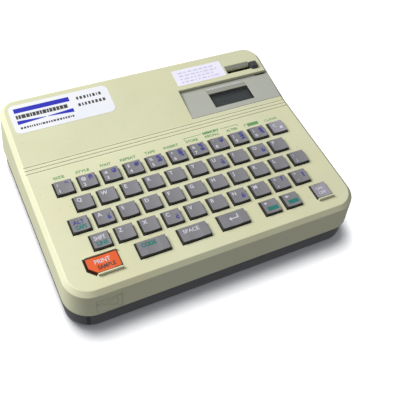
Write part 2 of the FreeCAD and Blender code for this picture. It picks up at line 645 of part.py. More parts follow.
posts = []
post_holes = []
for index, (sign, row) in enumerate((sign, row) for sign in ("-", "") for row in (1, 3)):
    x = "%s(Layout.key_block / 2 - Dimensions.post_inset)" % sign
    post = cylinder("post_%d" % index, "Dimensions.post_radius",
                    "Layout.mat_bottom - Dimensions.wall / 2")
    posts.append(on_deck(post, x, key_y(row), "-Layout.mat_bottom"))
    hole = cylinder("post_hole_%d" % index, "Dimensions.post_radius + Dimensions.post_gap",
                    "2 * Layout.mat_bottom")
    post_holes.append(on_deck(hole, x, key_y(row), "-2 * Layout.mat_bottom"))


def guard(name, key, side):
    """Make a low ridge along the front or rear edge of a key's opening."""
    column = dict(BOTTOM_ROW)[key]
    width = key_width_of(key)
    cut_off = "Dimensions.print_key_chamfer" if key == "print" and side == "front" else "0"
    offset = "Dimensions.key_depth / 2 + Dimensions.key_gap"
    lower = "%s + %s" % (key_y(4), offset)
    if side == "front":
        lower = "%s - (%s) - Dimensions.guard_width" % (key_y(4), offset)
    ridge = box(name, "%s - %s" % (width, cut_off), "Dimensions.guard_width",
                "Dimensions.guard_height + Dimensions.wall / 2")
    return on_deck(ridge, "%s - %s / 2 + %s" % (key_x(column), width, cut_off), lower,
                   "-Dimensions.wall / 2")


guards = [guard("print_front_guard", "print", "front"), guard("print_rear_guard", "print", "rear"),
          guard("power_guard", "on_off", "front")]

jack_opening = rod_along_y("jack_opening", "Dimensions.jack_bore + Dimensions.post_gap",
                           "4 * Dimensions.wall", "-Dimensions.jack_left", "Layout.jack_face",
                           "Layout.jack_z")

casing_solid = fuse("casing_solid", [casing_shell, recess_housing, outlet_housing]
                    + bosses + posts + guards)
casing_openings = group("casing_openings", key_holes + grooves + pilots + [
    panel_pocket, panel_light, outlet_ramp, outlet_mouth, cutter_hole, jack_opening])
nodes["top_casing"] = cut("top_casing", casing_solid, casing_openings)

tray_block = drafted_plate("tray_block", "Layout.tray_width", "Layout.tray_depth",
                           "Dimensions.tray_inset", "Dimensions.foot_height",
                           "Dimensions.seam_height - Dimensions.seam_gap - Dimensions.foot_height",
                           "-Dimensions.tray_draft")
tray_core = drafted_plate("tray_core", "Layout.tray_width - 2 * Dimensions.wall",
                          "Layout.tray_depth - 2 * Dimensions.wall",
                          "Dimensions.tray_inset - Dimensions.wall", "Layout.floor_z",
                          "Dimensions.seam_height", "-Dimensions.tray_draft")
tray_shell = cut("tray_shell", tray_block, tray_core)
lip_start = "Dimensions.seam_height - 2 * Dimensions.lip_height"
lip_block = drafted_plate("lip_block", "Layout.lip_width", "Layout.lip_depth", "Dimensions.wall",
                          lip_start, "3 * Dimensions.lip_height")
lip_core = drafted_plate("lip_core", "Layout.lip_width - 2 * Dimensions.lip_wall",
                         "Layout.lip_depth - 2 * Dimensions.lip_wall",
                         "Dimensions.wall + Dimensions.lip_wall",
                         lip_start, "3 * Dimensions.lip_height")
lip_ring = cut("lip_ring", lip_block, lip_core)

bay_shell = place(box("bay_shell", "Layout.bay_length + 2 * Dimensions.bay_wall",
                      "Layout.bay_width + 2 * Dimensions.bay_wall",
                      "Layout.bay_top + Dimensions.bay_wall - Dimensions.foot_height"),
                  "-Layout.bay_length / 2 - Dimensions.bay_wall",
                  "Layout.bay_y - Dimensions.bay_wall", "Dimensions.foot_height")
bay_room = place(box("bay_room", "Layout.bay_length", "Layout.bay_width",
                     "Layout.bay_top"),
                 "-Layout.bay_length / 2", "Layout.bay_y", "0")

CASSETTE_ROOM = "2 * Dimensions.cassette_gap"
cassette_opening = place(
    box("cassette_opening", "Dimensions.cassette_width + " + CASSETTE_ROOM,
        "Dimensions.cassette_depth + " + CASSETTE_ROOM, "2 * Layout.floor_z"),
    "Dimensions.outlet_left - Dimensions.cassette_gap",
    "Layout.cassette_y - Dimensions.cassette_gap", "0")
jack_pedestal = place(
    box("jack_pedestal", "Dimensions.jack_width", "Dimensions.jack_length / 2",
        "Layout.jack_z - Dimensions.jack_height / 2 - Dimensions.foot_height"),
    "-Dimensions.jack_left - Dimensions.jack_width / 2",
    "Layout.jack_face - 3 * Dimensions.jack_length / 4", "Dimensions.foot_height")
tray_solid = fuse("tray_solid", [tray_shell, lip_ring, bay_shell, jack_pedestal] + standoffs)
tray_openings = group("tray_openings", [bay_room, cassette_opening] + screw_holes + head_seats)
nodes["bottom_casing"] = cut("bottom_casing", tray_solid, tray_openings)

feet = []
for sign_x in ("-", ""):
    for sign_y in ("", "-"):
        foot = cylinder("foot_blank_%d" % len(feet), "Dimensions.foot_radius",
                        "Dimensions.foot_height")
        place(foot, "%s(Layout.casing_width / 2 - Dimensions.foot_inset_x)" % sign_x,
              "%s(Layout.front_edge + Dimensions.foot_inset_y)" % sign_y, "0")
        feet.append(foot)
nodes["rubber_feet"] = group("rubber_feet", feet)


def make_door(name, length, width, x, y):
    """Make an underside door: a flat plate with three finger ribs sunk in its outer face."""
    gap = "Dimensions.door_gap"
    plate = place(box(name + "_plate", "%s - 2 * %s" % (length, gap),
                      "%s - 2 * %s" % (width, gap), "Dimensions.wall"),
                  "%s + %s" % (x, gap), "%s + %s" % (y, gap), "Dimensions.foot_height")
    ribs = []
    for line in range(3):
        rib = box("%s_rib_%d" % (name, line), "Dimensions.rib_length", "Dimensions.rib_width",
                  "Dimensions.rib_depth")
        ribs.append(place(rib, "%s + (%s) / 2 - Dimensions.rib_length / 2" % (x, length),
                          "%s + (%s) - %d * Dimensions.rib_pitch" % (y, width, line + 2),
                          "Dimensions.foot_height"))
    return cut(name, plate, group(name + "_ribs", ribs))


nodes["battery_door"] = make_door("battery_door", "Layout.bay_length", "Layout.bay_width",
                                  "-Layout.bay_length / 2", "Layout.bay_y")
nodes["cassette_door"] = make_door(
    "cassette_door", "Dimensions.cassette_width + " + CASSETTE_ROOM,
    "Dimensions.cassette_depth + " + CASSETTE_ROOM,
    "Dimensions.outlet_left - Dimensions.cassette_gap",
    "Layout.cassette_y - Dimensions.cassette_gap")

# --- display ----------------------------------------------------------------------------

panel_blank = on_panel(
    box("panel_blank", past_side, "Dimensions.panel_depth - 2 * Dimensions.panel_gap",
        "Dimensions.panel_thickness"),
    "Layout.panel_left + Dimensions.panel_gap", "Dimensions.panel_gap",
    "-Dimensions.panel_thickness")
panel_plate = common("panel_plate", panel_blank, casing_block)
WINDOW_X = "Layout.panel_left + Dimensions.window_left"
window_opening = on_panel(
    box("window_opening", "Dimensions.window_width", "Dimensions.window_depth",
        "2 * Dimensions.panel_thickness"),
    WINDOW_X, "Dimensions.window_front", "-Dimensions.panel_thickness")
window_seat = on_panel(
    box("window_seat", "Dimensions.window_width + 2 * Dimensions.window_lip",
        "Dimensions.window_depth + 2 * Dimensions.window_lip", "Dimensions.panel_thickness"),
    WINDOW_X + " - Dimensions.window_lip", "Dimensions.window_front - Dimensions.window_lip",
    "-Dimensions.panel_thickness - Dimensions.window_sink")
window_rear = "Dimensions.window_front + Dimensions.window_depth"
window_slope = on_panel(
    prism("window_slope", [
        (window_rear + " - Dimensions.window_lip", "-Dimensions.window_sink"),
        (window_rear, "-Dimensions.window_sink + Dimensions.panel_gap"),
        (window_rear + " + Dimensions.window_slope", "0"),
        (window_rear + " + Dimensions.window_slope", "Dimensions.bevel"),
        (window_rear + " - Dimensions.window_lip", "Dimensions.bevel")],
        WINDOW_X, "Dimensions.window_width"))
nodes["display_bezel"] = cut("display_bezel", panel_plate, group(
    "window_cuts", [window_opening, window_seat, window_slope]))
nodes["display_window"] = on_panel(
    box("display_window", "Dimensions.window_width + 2 * (Dimensions.window_lip"
        " - Dimensions.shaft_gap)",
        "Dimensions.window_depth + 2 * (Dimensions.window_lip - Dimensions.shaft_gap)",
        "Dimensions.window_thickness"),
    WINDOW_X + " - Dimensions.window_lip + Dimensions.shaft_gap",
    "Dimensions.window_front - Dimensions.window_lip + Dimensions.shaft_gap",
    "-Dimensions.window_sink - Dimensions.window_thickness")
nodes["lcd_module"] = on_panel(
    box("lcd_module", "Dimensions.window_width + 4 * Dimensions.window_lip",
        "Dimensions.panel_depth - 4 * Dimensions.ledge", "Dimensions.lcd_thickness"),
    WINDOW_X + " - 2 * Dimensions.window_lip", "2 * Dimensions.ledge",
    "-Dimensions.panel_thickness - Dimensions.lcd_thickness")

# --- keypad mat and circuit board ---------------------------------------------------------

BOARD_X = "-Layout.key_block / 2 - Dimensions.board_margin"
BOARD_Y = "-4 * Dimensions.row_pitch - Dimensions.board_margin"
BOARD_LENGTH = "Layout.key_block + 2 * Dimensions.board_margin"
BOARD_WIDTH = "4 * Dimensions.row_pitch + Dimensions.key_depth + 2 * Dimensions.board_margin"
mat_sheet = on_deck(box("mat_sheet", BOARD_LENGTH, BOARD_WIDTH, "Dimensions.mat_thickness"),
                    BOARD_X, BOARD_Y, "-Layout.mat_bottom")
bumps = [
    on_deck(cylinder("bump_" + name, "Dimensions.mat_bump_radius",
                     "Dimensions.mat_bump + Dimensions.mat_thickness / 2"),
            key_x(column), key_y(row),
            "-Layout.mat_top - Dimensions.mat_bump - Dimensions.mat_thickness / 2")
    for name, column, row in key_places()]
nodes["keypad_mat"] = cut("keypad_mat", fuse("mat_blank", [mat_sheet] + bumps),
                          group("post_openings", post_holes))
board_sheet = on_deck(box("board_sheet", BOARD_LENGTH, BOARD_WIDTH, "Dimensions.board_thickness"),
                      BOARD_X, BOARD_Y, "-Layout.mat_bottom - Dimensions.board_thickness")
chips = [
    on_deck(box("chip_%d" % place_number, "Dimensions.chip_length", "Dimensions.chip_width",
                "Dimensions.chip_height"),
            "%d * Dimensions.chip_length - Dimensions.chip_length / 2" % (2 * place_number),
            "-Dimensions.row_pitch / 2",
            "-Layout.mat_bottom - Dimensions.board_thickness - Dimensions.chip_height")
    for place_number in (-1, 0, 1)]
nodes["circuit_board"] = fuse("circuit_board", [board_sheet] + chips)

# --- cutter button ----------------------------------------------------------------------

cutter_body = doc.addObject("PartDesign::Body", "cutter_button")
cutter_outline = new_sketch(cutter_body, "cutter_outline", "XY_Plane", "-Dimensions.cutter_stem")
add_polygon(cutter_outline, [("0", "0"), ("Dimensions.cutter_width", "0"),
                             ("Dimensions.cutter_width", "Dimensions.cutter_depth"),
                             ("0", "Dimensions.cutter_depth")])
cutter_pad = pad(cutter_body, cutter_outline, "Dimensions.cutter_stem + Dimensions.cutter_proud")
doc.recompute()
cutter_rounding = cutter_body.newObject("PartDesign::Fillet", "cutter_rounding")
cutter_rounding.Base = (cutter_pad, edges_where(
    cutter_pad.Shape,
    lambda edge: all(v.Z > 0 for v in edge.Vertexes)
    and abs(edge.Vertexes[0].Y - edge.Vertexes[-1].Y) < 0.01))
bind(cutter_rounding, Radius="Dimensions.cutter_round")
nodes["cutter_button"] = on_rear_deck(cutter_body, CUTTER_X, CUTTER_Y)

# --- batteries, contacts and power inlet ----------------------------------------------------

CELL_START = "-Layout.bay_length / 2 + Dimensions.contact_room"
cells = []
for line in range(3):
    cell_y = "Layout.bay_y + Dimensions.bay_gap + Dimensions.cell_radius" \
             " + %d * Dimensions.cell_spacing" % line
    for column in range(2):
        cell_x = "%s + %d * Dimensions.cell_length" % (CELL_START, column)
        can = rod_along_x("can_%d_%d" % (line, column), "Dimensions.cell_radius",
                          "Dimensions.cell_length - Dimensions.nub_length",
                          cell_x, cell_y, "Layout.cell_z")
        nub = rod_along_x("nub_%d_%d" % (line, column), "Dimensions.nub_radius",
                          "2 * Dimensions.nub_length",
                          cell_x + " + Dimensions.cell_length - 2 * Dimensions.nub_length",
                          cell_y, "Layout.cell_z")
        cells.append(fuse("cell_%d_%d" % (line, column), [can, nub]))
nodes["batteries"] = group("batteries", cells)

contacts = []
for end, (sheet_x, button_x) in enumerate((
        ("-Layout.bay_length / 2", "-Layout.bay_length / 2"),
        ("Layout.bay_length / 2 - Dimensions.contact_sheet",
         "Layout.bay_length / 2 - Dimensions.contact_room"))):
    sheet = place(box("contact_sheet_%d" % end, "Dimensions.contact_sheet", "Layout.bay_width",
                      "2 * Dimensions.cell_radius"),
                  sheet_x, "Layout.bay_y", "Layout.cell_z - Dimensions.cell_radius")
    buttons = [rod_along_x("contact_%d_%d" % (end, line), "Dimensions.contact_radius",
                           "Dimensions.contact_room", button_x,
                           "Layout.bay_y + Dimensions.bay_gap + Dimensions.cell_radius"
                           " + %d * Dimensions.cell_spacing" % line, "Layout.cell_z")
               for line in range(3)]
    contacts.append(fuse("contact_strip_%d" % end, [sheet] + buttons))
nodes["battery_contacts"] = group("battery_contacts", contacts)

jack_block = place(box("jack_block", "Dimensions.jack_width", "Dimensions.jack_length",
                       "Dimensions.jack_height"),
                   "-Dimensions.jack_left - Dimensions.jack_width / 2",
                   "Layout.jack_face - Dimensions.jack_length",
                   "Layout.jack_z - Dimensions.jack_height / 2")


jack_bore = rod_along_y("jack_bore", "Dimensions.jack_bore", "2 * Dimensions.jack_depth",
                        "-Dimensions.jack_left", "Layout.jack_face - Dimensions.jack_depth",
                        "Layout.jack_z")
jack_pin = rod_along_y("jack_pin", "Dimensions.jack_pin",
                       "Dimensions.jack_depth", "-Dimensions.jack_left",
                       "Layout.jack_face - Dimensions.jack_depth - Dimensions.jack_gap",
                       "Layout.jack_z")
nodes["dc_jack"] = fuse("dc_jack", [cut("jack_socket", jack_block, jack_bore), jack_pin])

# --- tape cassette ------------------------------------------------------------------------

cassette_body = doc.addObject("PartDesign::Body", "cassette_body")
cassette_outline = new_sketch(cassette_body, "cassette_outline", "YZ_Plane")
add_polygon(cassette_outline, [
    ("0", "0"), ("Dimensions.cassette_depth", "0"),
    ("Dimensions.cassette_depth", "Dimensions.cassette_height"),
    ("0", "Dimensions.cassette_height")])
cassette_pad = pad(cassette_body, cassette_outline, "Dimensions.cassette_width")
doc.recompute()
cassette_rounding = cassette_body.newObject("PartDesign::Fillet", "cassette_rounding")
cassette_rounding.Base = (cassette_pad, edges_where(
    cassette_pad.Shape,
    lambda edge: abs(edge.Vertexes[0].X - edge.Vertexes[-1].X) > 1))
bind(cassette_rounding, Radius="3 * Dimensions.cassette_gap")
place(cassette_body, "Dimensions.outlet_left", "Layout.cassette_y", "Layout.cassette_z")
spools = [
    rod_along_x("spool_%d" % side, "Dimensions.spool_radius", "2 * Dimensions.cassette_width",
                "Dimensions.outlet_left - Dimensions.cassette_width / 2",
                "Layout.cassette_y + %d * Dimensions.cassette_depth / 4" % share,
                "Layout.cassette_z + Dimensions.cassette_height / 2")
    for side, share in enumerate((1, 3))]
nodes["tape_cassette"] = cut("tape_cassette", cassette_body, group("spool_holes", spools))

# --- tape drive ---------------------------------------------------------------------------

GEAR_SCALE = number_of("Dimensions.gear_module")
FLANK_STEPS = 4


def turned(angle, distance):
    """Return a YZ offset as a formula pair; the angle is counted from Y towards Z."""
    return ("%s * cos(%s * 1 deg)" % (distance, angle), "%s * sin(%s * 1 deg)" % (distance, angle))


IDLER_STEP = turned(IDLER_DIRECTION, "Dimensions.gear_module * %d / 2"
                    % (PLATEN_TEETH + IDLER_TEETH))
PINION_STEP = turned(PINION_DIRECTION, "Dimensions.gear_module * %d / 2"
                     % (IDLER_TEETH + PINION_TEETH))
IDLER_Y = "Layout.platen_y + " + IDLER_STEP[0]
IDLER_Z = "Layout.platen_z + " + IDLER_STEP[1]
PINION_Y = IDLER_Y + " + " + PINION_STEP[0]
PINION_Z = IDLER_Z + " + " + PINION_STEP[1]


def gear_wire(teeth, phase):
    """Outline of an involute spur gear in the YZ plane; phase is one tooth's angle."""
    pitch_radius = GEAR_SCALE * teeth / 2
    base_radius = pitch_radius * math.cos(math.radians(PRESSURE_ANGLE))
    tip_radius = pitch_radius + number_of("Dimensions.gear_addendum")
    root_radius = pitch_radius - number_of("Dimensions.gear_dedendum")
    involute = math.tan(math.radians(PRESSURE_ANGLE)) - math.radians(PRESSURE_ANGLE)
    half_tooth = math.pi / (2 * teeth) - number_of("Dimensions.gear_backlash") / pitch_radius

    def point(radius, angle):
        return Vector(0, radius * math.cos(angle), radius * math.sin(angle))

    def flank(radius):
        """Half the tooth's angle at a radius on the involute."""
        roll = math.acos(min(1.0, base_radius / radius))
        return half_tooth + involute - (math.tan(roll) - roll)

    start_radius = max(base_radius, root_radius)
    radii = [start_radius + (tip_radius - start_radius) * step / FLANK_STEPS
             for step in range(FLANK_STEPS + 1)]
    outline = []
    for tooth in range(teeth):
        centre = phase + 2 * math.pi * tooth / teeth
        outline.append(point(root_radius, centre - flank(start_radius)))
        outline += [point(radius, centre - flank(radius)) for radius in radii]
        outline += [point(radius, centre + flank(radius)) for radius in reversed(radii)]
        outline.append(point(root_radius, centre + flank(start_radius)))
    return Part.makePolygon(outline + outline[:1])


def meshed_phase(phase, teeth, other_teeth, direction):
    """Angle of a tooth on the gear that meshes at a direction with a gear of known phase."""
    pitch = 2 * math.pi / teeth
    offset = (phase - direction + pitch / 2) % pitch - pitch / 2
    return direction + math.pi - offset * teeth / other_teeth + math.pi / other_teeth


def make_gear(name, teeth, phase, bore, y, z):
    """Make a spur gear about the X axis, with a round bore."""
    blank = Part.Face(gear_wire(teeth, phase)).extrude(
        Vector(number_of("Dimensions.gear_face"), 0, 0))
    axle = Part.makeCylinder(number_of(bore), number_of("Dimensions.gear_face"), Vector(),
                             Vector(1, 0, 0))
    gear = doc.addObject("Part::Feature", name)
    gear.Shape = blank.cut(axle)
    gear.Placement = Placement(Vector(number_of("Layout.gear_x"), number_of(y), number_of(z)),
                               Rotation())
    return gear


idler_phase = 0.0
platen_phase = meshed_phase(idler_phase, IDLER_TEETH, PLATEN_TEETH,
                            math.radians(IDLER_DIRECTION) + math.pi)
pinion_phase = meshed_phase(idler_phase, IDLER_TEETH, PINION_TEETH,
                            math.radians(PINION_DIRECTION))
nodes["idler_gear"] = make_gear("idler_gear", IDLER_TEETH, idler_phase,
                                "Dimensions.platen_shaft + Dimensions.shaft_gap",
                                IDLER_Y, IDLER_Z)
nodes["platen_gear"] = make_gear("platen_gear", PLATEN_TEETH, platen_phase,
                                 "Dimensions.platen_shaft", "Layout.platen_y", "Layout.platen_z")
pinion_ring = make_gear("pinion_ring", PINION_TEETH, pinion_phase,
                        "Dimensions.motor_shaft - Dimensions.shaft_gap", PINION_Y, PINION_Z)
pinion_shaft = rod_along_x("pinion_shaft", "Dimensions.motor_shaft",
                           "Dimensions.motor_length / 2 + Dimensions.chassis_sheet"
                           " + Dimensions.gear_clearance + Dimensions.gear_face",
                           "Layout.motor_face_x - Dimensions.motor_length / 2",
                           PINION_Y, PINION_Z)
nodes["motor_pinion"] = fuse("motor_pinion", [pinion_ring, pinion_shaft])

motor_can = rod_along_x("motor_can", "Dimensions.motor_radius", "Dimensions.motor_length",
                        "Layout.motor_face_x - Dimensions.motor_length", PINION_Y, PINION_Z)
motor_bore = rod_along_x("motor_bore", "Dimensions.motor_shaft + Dimensions.shaft_gap",
                         "Dimensions.motor_length",
                         "Layout.motor_face_x - Dimensions.motor_length / 2 - Dimensions.post_gap",
                         PINION_Y, PINION_Z)
nodes["drive_motor"] = cut("drive_motor", motor_can, motor_bore)

ROLLER_START = "Dimensions.outlet_left - Dimensions.cassette_gap + Dimensions.end_play"
ROLLER_LENGTH = "Dimensions.cassette_width + 2 * Dimensions.cassette_gap" \
                " - 2 * Dimensions.end_play"
roller = rod_along_x("roller", "Dimensions.platen_radius", ROLLER_LENGTH, ROLLER_START,
                     "Layout.platen_y", "Layout.platen_z")
roller_shaft = rod_along_x("roller_shaft", "Dimensions.platen_shaft",
                           "Layout.far_plate_x + 2 * Dimensions.chassis_sheet - Layout.gear_x",
                           "Layout.gear_x", "Layout.platen_y", "Layout.platen_z")
nodes["platen_roller"] = fuse("platen_roller", [roller, roller_shaft])

head_block = place(box("head_block", ROLLER_LENGTH, "Dimensions.head_thickness",
                       "Dimensions.head_height"),
                   ROLLER_START, "Layout.head_y", "Layout.platen_z - Dimensions.head_height / 2")
head_fins = [
    place(box("head_fin_%d" % fin, "Dimensions.chassis_sheet", "Dimensions.fin_depth",
              "Dimensions.head_height"),
          "%s + (%s - Dimensions.chassis_sheet) * %d / 4" % (ROLLER_START, ROLLER_LENGTH, fin),
          "Layout.head_y + Dimensions.head_thickness",
          "Layout.platen_z - Dimensions.head_height / 2")
    for fin in range(5)]
nodes["print_head"] = fuse("print_head", [head_block] + head_fins)

PLATE_LENGTH = "Layout.head_y + Dimensions.head_thickness + Dimensions.fin_depth" \
               " + Dimensions.chassis_sheet - Layout.plate_y"
PLATE_HEIGHT = "Layout.drive_top - Layout.floor_z"
plates = [
    place(box("plate_%d" % side, "Dimensions.chassis_sheet", PLATE_LENGTH, PLATE_HEIGHT),
          x, "Layout.plate_y", "Layout.floor_z")
    for side, x in enumerate(("Layout.side_plate_x", "Layout.far_plate_x"))]
cross_bar = place(
    box("cross_bar", "Layout.far_plate_x - Layout.side_plate_x", "Dimensions.chassis_sheet",
        "Dimensions.head_height"),
    "Layout.side_plate_x",
    "Layout.head_y + Dimensions.head_thickness + Dimensions.fin_depth",
    "Layout.platen_z - Dimensions.head_height / 2")
motor_plate = place(
    box("motor_plate", "Dimensions.chassis_sheet", "2 * Dimensions.motor_radius",
        "%s + Dimensions.motor_radius - Layout.floor_z" % PINION_Z),
    "Layout.motor_face_x", "%s - Dimensions.motor_radius" % PINION_Y, "Layout.floor_z")
motor_foot = place(
    box("motor_foot", "Layout.side_plate_x - Layout.motor_face_x", "2 * Dimensions.motor_radius",
        "Dimensions.chassis_sheet"),
    "Layout.motor_face_x", "%s - Dimensions.motor_radius" % PINION_Y, "Layout.floor_z")
idler_stud = rod_along_x("idler_stud", "Dimensions.platen_shaft",
                         "Layout.side_plate_x - Layout.gear_x + Dimensions.chassis_sheet / 2",
                         "Layout.gear_x", IDLER_Y, IDLER_Z)
shaft_holes = [
    rod_along_x("roller_bearing", "Dimensions.platen_shaft + Dimensions.shaft_gap",
                "Layout.casing_width / 4", "Layout.gear_x", "Layout.platen_y", "Layout.platen_z"),
    rod_along_x("pinion_bearing", "Dimensions.motor_shaft + Dimensions.shaft_gap",
                "3 * Dimensions.chassis_sheet",
                "Layout.motor_face_x - Dimensions.chassis_sheet", PINION_Y, PINION_Z)]
nodes["mechanism_chassis"] = cut(
    "mechanism_chassis",
    fuse("chassis_blank", plates + [cross_bar, motor_plate, motor_foot, idler_stud]),
    group("shaft_holes", shaft_holes))

# --- check and write ------------------------------------------------------------------------

doc.recompute()
failed = [item.Name for item in doc.Objects
          if any(state in ("Invalid", "Error") for state in item.State)]
if failed:
    raise RuntimeError("failed features: " + ", ".join(failed))
for node_name, node in nodes.items():
    node.Label = node_name
    if node.Shape.isNull() or not node.Shape.isValid():
        raise RuntimeError("bad shape: " + node_name)
for node_name, node in nodes.items():
    node.Shape.exportStep(os.path.join("parts", node_name + ".step"))
print("%d nodes written" % len(nodes))
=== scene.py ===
import math

import bpy
import numpy as np
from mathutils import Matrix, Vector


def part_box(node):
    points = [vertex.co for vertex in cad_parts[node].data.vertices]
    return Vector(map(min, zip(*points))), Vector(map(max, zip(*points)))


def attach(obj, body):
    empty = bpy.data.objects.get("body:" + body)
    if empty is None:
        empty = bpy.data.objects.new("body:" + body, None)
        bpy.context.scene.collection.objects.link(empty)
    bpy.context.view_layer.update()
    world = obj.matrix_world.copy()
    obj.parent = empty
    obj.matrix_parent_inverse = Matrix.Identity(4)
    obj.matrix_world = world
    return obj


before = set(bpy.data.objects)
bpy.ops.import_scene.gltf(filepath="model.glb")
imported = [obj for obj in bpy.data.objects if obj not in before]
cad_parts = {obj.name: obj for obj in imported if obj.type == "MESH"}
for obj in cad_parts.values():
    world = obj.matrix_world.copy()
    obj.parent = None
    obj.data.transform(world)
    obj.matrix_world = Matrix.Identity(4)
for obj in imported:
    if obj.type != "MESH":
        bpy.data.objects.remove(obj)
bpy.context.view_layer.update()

# A desk label maker. Lengths named here are millimetres, and MM turns them into metres.
# A plane is (y, z, tilt): where its own origin lies on the casing's middle line, and how many
# degrees its y axis leans up from the row frame's. Marks and labels are laid out on a plane.
MM = 0.001
DECK = (-7.06, 42.83, 2.0)
REAR_DECK = (26.02, 43.98, 10.0)
PANEL = (28.58, 44.43, 5.0)
CASING_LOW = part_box("top_casing")[0] / MM
FRONT_WALL = (CASING_LOW.y, CASING_LOW.z, 86.0)
TRAY_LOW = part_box("bottom_casing")[0] / MM
TRAY_CORNER = 18.3
TRAY_TOP = 16.2
TRAY_DRAFT = 1.5
DOOR_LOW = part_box("battery_door")[0] / MM

KEY_PITCH = 17.0
ROW_PITCH = 16.2
KEY_WIDTH = 12.6
WIDE_KEY_WIDTH = 21.3
KEY_DEPTH = 11.8
KEY_PROUD = 2.2
LOW_KEY_PROUD = 1.3
DISH_RADIUS = 42.0
DISH_DEPTH = 0.3
MIDDLE_COLUMN = 5
PRINT_KEY = (0.25, 4)
PRINT_CUT = 4.6

# Ink is a thin closed plate; a lift is how far the plate's middle stands over its surface.
# A sink is how deep a label or its print is set into what it lies on, so that no gap shows.
INK = 0.05
INK_LIFT = 0.035
DECK_PRINT_LIFT = INK_LIFT - 0.02
LABEL_THICKNESS = 0.14
LABEL_SINK = 0.02
LABEL_PRINT_SINK = 0.03
TYPE_DEPTH = 0.01

WINDOW_LEFT = 49.1
WINDOW_FRONT = 5.0
WINDOW_SINK = 0.8
WINDOW_WIDTH = 35.2
WINDOW_REAR = 19.6
MASK_REAR = 1.7
MASK_RIGHT = 1.5
OUTLET_LEFT = 73.0
OUTLET_WIDTH = 22.0
OUTLET_RAMP = 39.8


# --- materials ----------------------------------------------------------------------------

class Finish:
    """A node material under construction: one Principled shader and the textures that feed it."""

    def __init__(self, name, colour, roughness, metallic=0.0):
        self.material = bpy.data.materials.new(name)
        self.material.use_nodes = True
        self.tree = self.material.node_tree
        self.shader = self.tree.nodes["Principled BSDF"]
        self.shader.inputs["Base Color"].default_value = (*colour, 1.0)
        self.shader.inputs["Roughness"].default_value = roughness
        self.shader.inputs["Metallic"].default_value = metallic
        self.place = self.add("ShaderNodeTexCoord").outputs["Object"]
        self.normal = None

    def add(self, kind, **settings):
        node = self.tree.nodes.new(kind)
        for key, value in settings.items():
            setattr(node, key, value)
        return node

    def link(self, source, target):
        self.tree.links.new(source, target)

    def stretched(self, stretch):
        """Object coordinates scaled per axis, so a noise read through them runs in streaks."""
        mapping = self.add("ShaderNodeMapping")
        mapping.inputs["Scale"].default_value = stretch
        self.link(self.place, mapping.inputs["Vector"])
        return mapping.outputs["Vector"]

    def noise(self, size, detail=3.0, stretch=None, distortion=0.0):
        """Cloudy noise whose blotches are about `size` millimetres across."""
        node = self.add("ShaderNodeTexNoise")
        node.inputs["Scale"].default_value = 1.0 / (size * MM)
        node.inputs["Detail"].default_value = detail
        node.inputs["Distortion"].default_value = distortion
        self.link(self.stretched(stretch) if stretch else self.place, node.inputs["Vector"])
        return node.outputs["Fac"]

    def ramp(self, factor, low, high):
        """Stretch a factor so that it runs from 0 at `low` to 1 at `high`."""
        node = self.add("ShaderNodeMapRange")
        node.inputs["From Min"].default_value = low
        node.inputs["From Max"].default_value = high
        self.link(factor, node.inputs["Value"])
        return node.outputs["Result"]

    def math(self, operation, first, second):
        node = self.add("ShaderNodeMath", operation=operation)
        for socket, value in zip(node.inputs, (first, second)):
            if isinstance(value, float):
                socket.default_value = value
            else:
                self.link(value, socket)
        return node.outputs["Value"]

    def tint(self, factor, colour, amount=1.0):
        """Mix another colour over the base wherever a factor is high."""
        base = self.shader.inputs["Base Color"]
        node = self.add("ShaderNodeMix", data_type="RGBA")
        colours = [socket for socket in node.inputs if socket.type == "RGBA"]
        if base.is_linked:
            self.link(base.links[0].from_socket, colours[0])
        else:
            colours[0].default_value = base.default_value
        colours[1].default_value = (*colour, 1.0)
        self.link(self.math("MULTIPLY", factor, amount), node.inputs["Factor"])
        result = [socket for socket in node.outputs if socket.type == "RGBA"][0]
        self.link(result, base)
        return self

    def gloss(self, factor, low, high):
        """Let the roughness wander between two values with a factor."""
        node = self.add("ShaderNodeMapRange")
        node.inputs["To Min"].default_value = low
        node.inputs["To Max"].default_value = high
        self.link(factor, node.inputs["Value"])
        self.link(node.outputs["Result"], self.shader.inputs["Roughness"])
        return self

    def soften(self, radius):
        """Shade the edges as if they were rounded to a radius in millimetres."""
        node = self.add("ShaderNodeBevel", samples=4)
        node.inputs["Radius"].default_value = radius * MM
        self.normal = node.outputs["Normal"]
        self.link(self.normal, self.shader.inputs["Normal"])
        return self

    def bump(self, height, depth):
        """Raise the surface by a height texture; depth is in millimetres."""
        node = self.add("ShaderNodeBump")
        node.inputs["Distance"].default_value = depth * MM
        node.inputs["Strength"].default_value = 1.0
        self.link(height, node.inputs["Height"])
        if self.normal:
            self.link(self.normal, node.inputs["Normal"])
        self.normal = node.outputs["Normal"]
        self.link(self.normal, self.shader.inputs["Normal"])
        return self

    def paint_edge_highlight(self, colour, amount):
        """Painted highlight: lighten the outer edges, where the softened normal turns away from the
        flat one.
        """
        geometry = self.add("ShaderNodeNewGeometry")
        turn = self.add("ShaderNodeVectorMath", operation="DOT_PRODUCT")
        self.link(self.normal, turn.inputs[0])
        self.link(geometry.outputs["True Normal"], turn.inputs[1])
        return self.tint(self.ramp(turn.outputs["Value"], 0.998, 0.97), colour, amount)

    def upward(self):
        """1 where the surface faces up, falling to 0 on upright walls."""
        geometry = self.add("ShaderNodeNewGeometry")
        split = self.add("ShaderNodeSeparateXYZ")
        self.link(geometry.outputs["True Normal"], split.inputs["Vector"])
        return split.outputs["Z"]

    def scuffs(self, size, share):
        """Sparse thin scratches: streaky noise cut off near its peaks."""
        streaks = self.noise(size, 2.0, stretch=(0.15, 1.0, 1.0), distortion=1.5)
        return self.ramp(streaks, 1.0 - share, 1.02 - share)


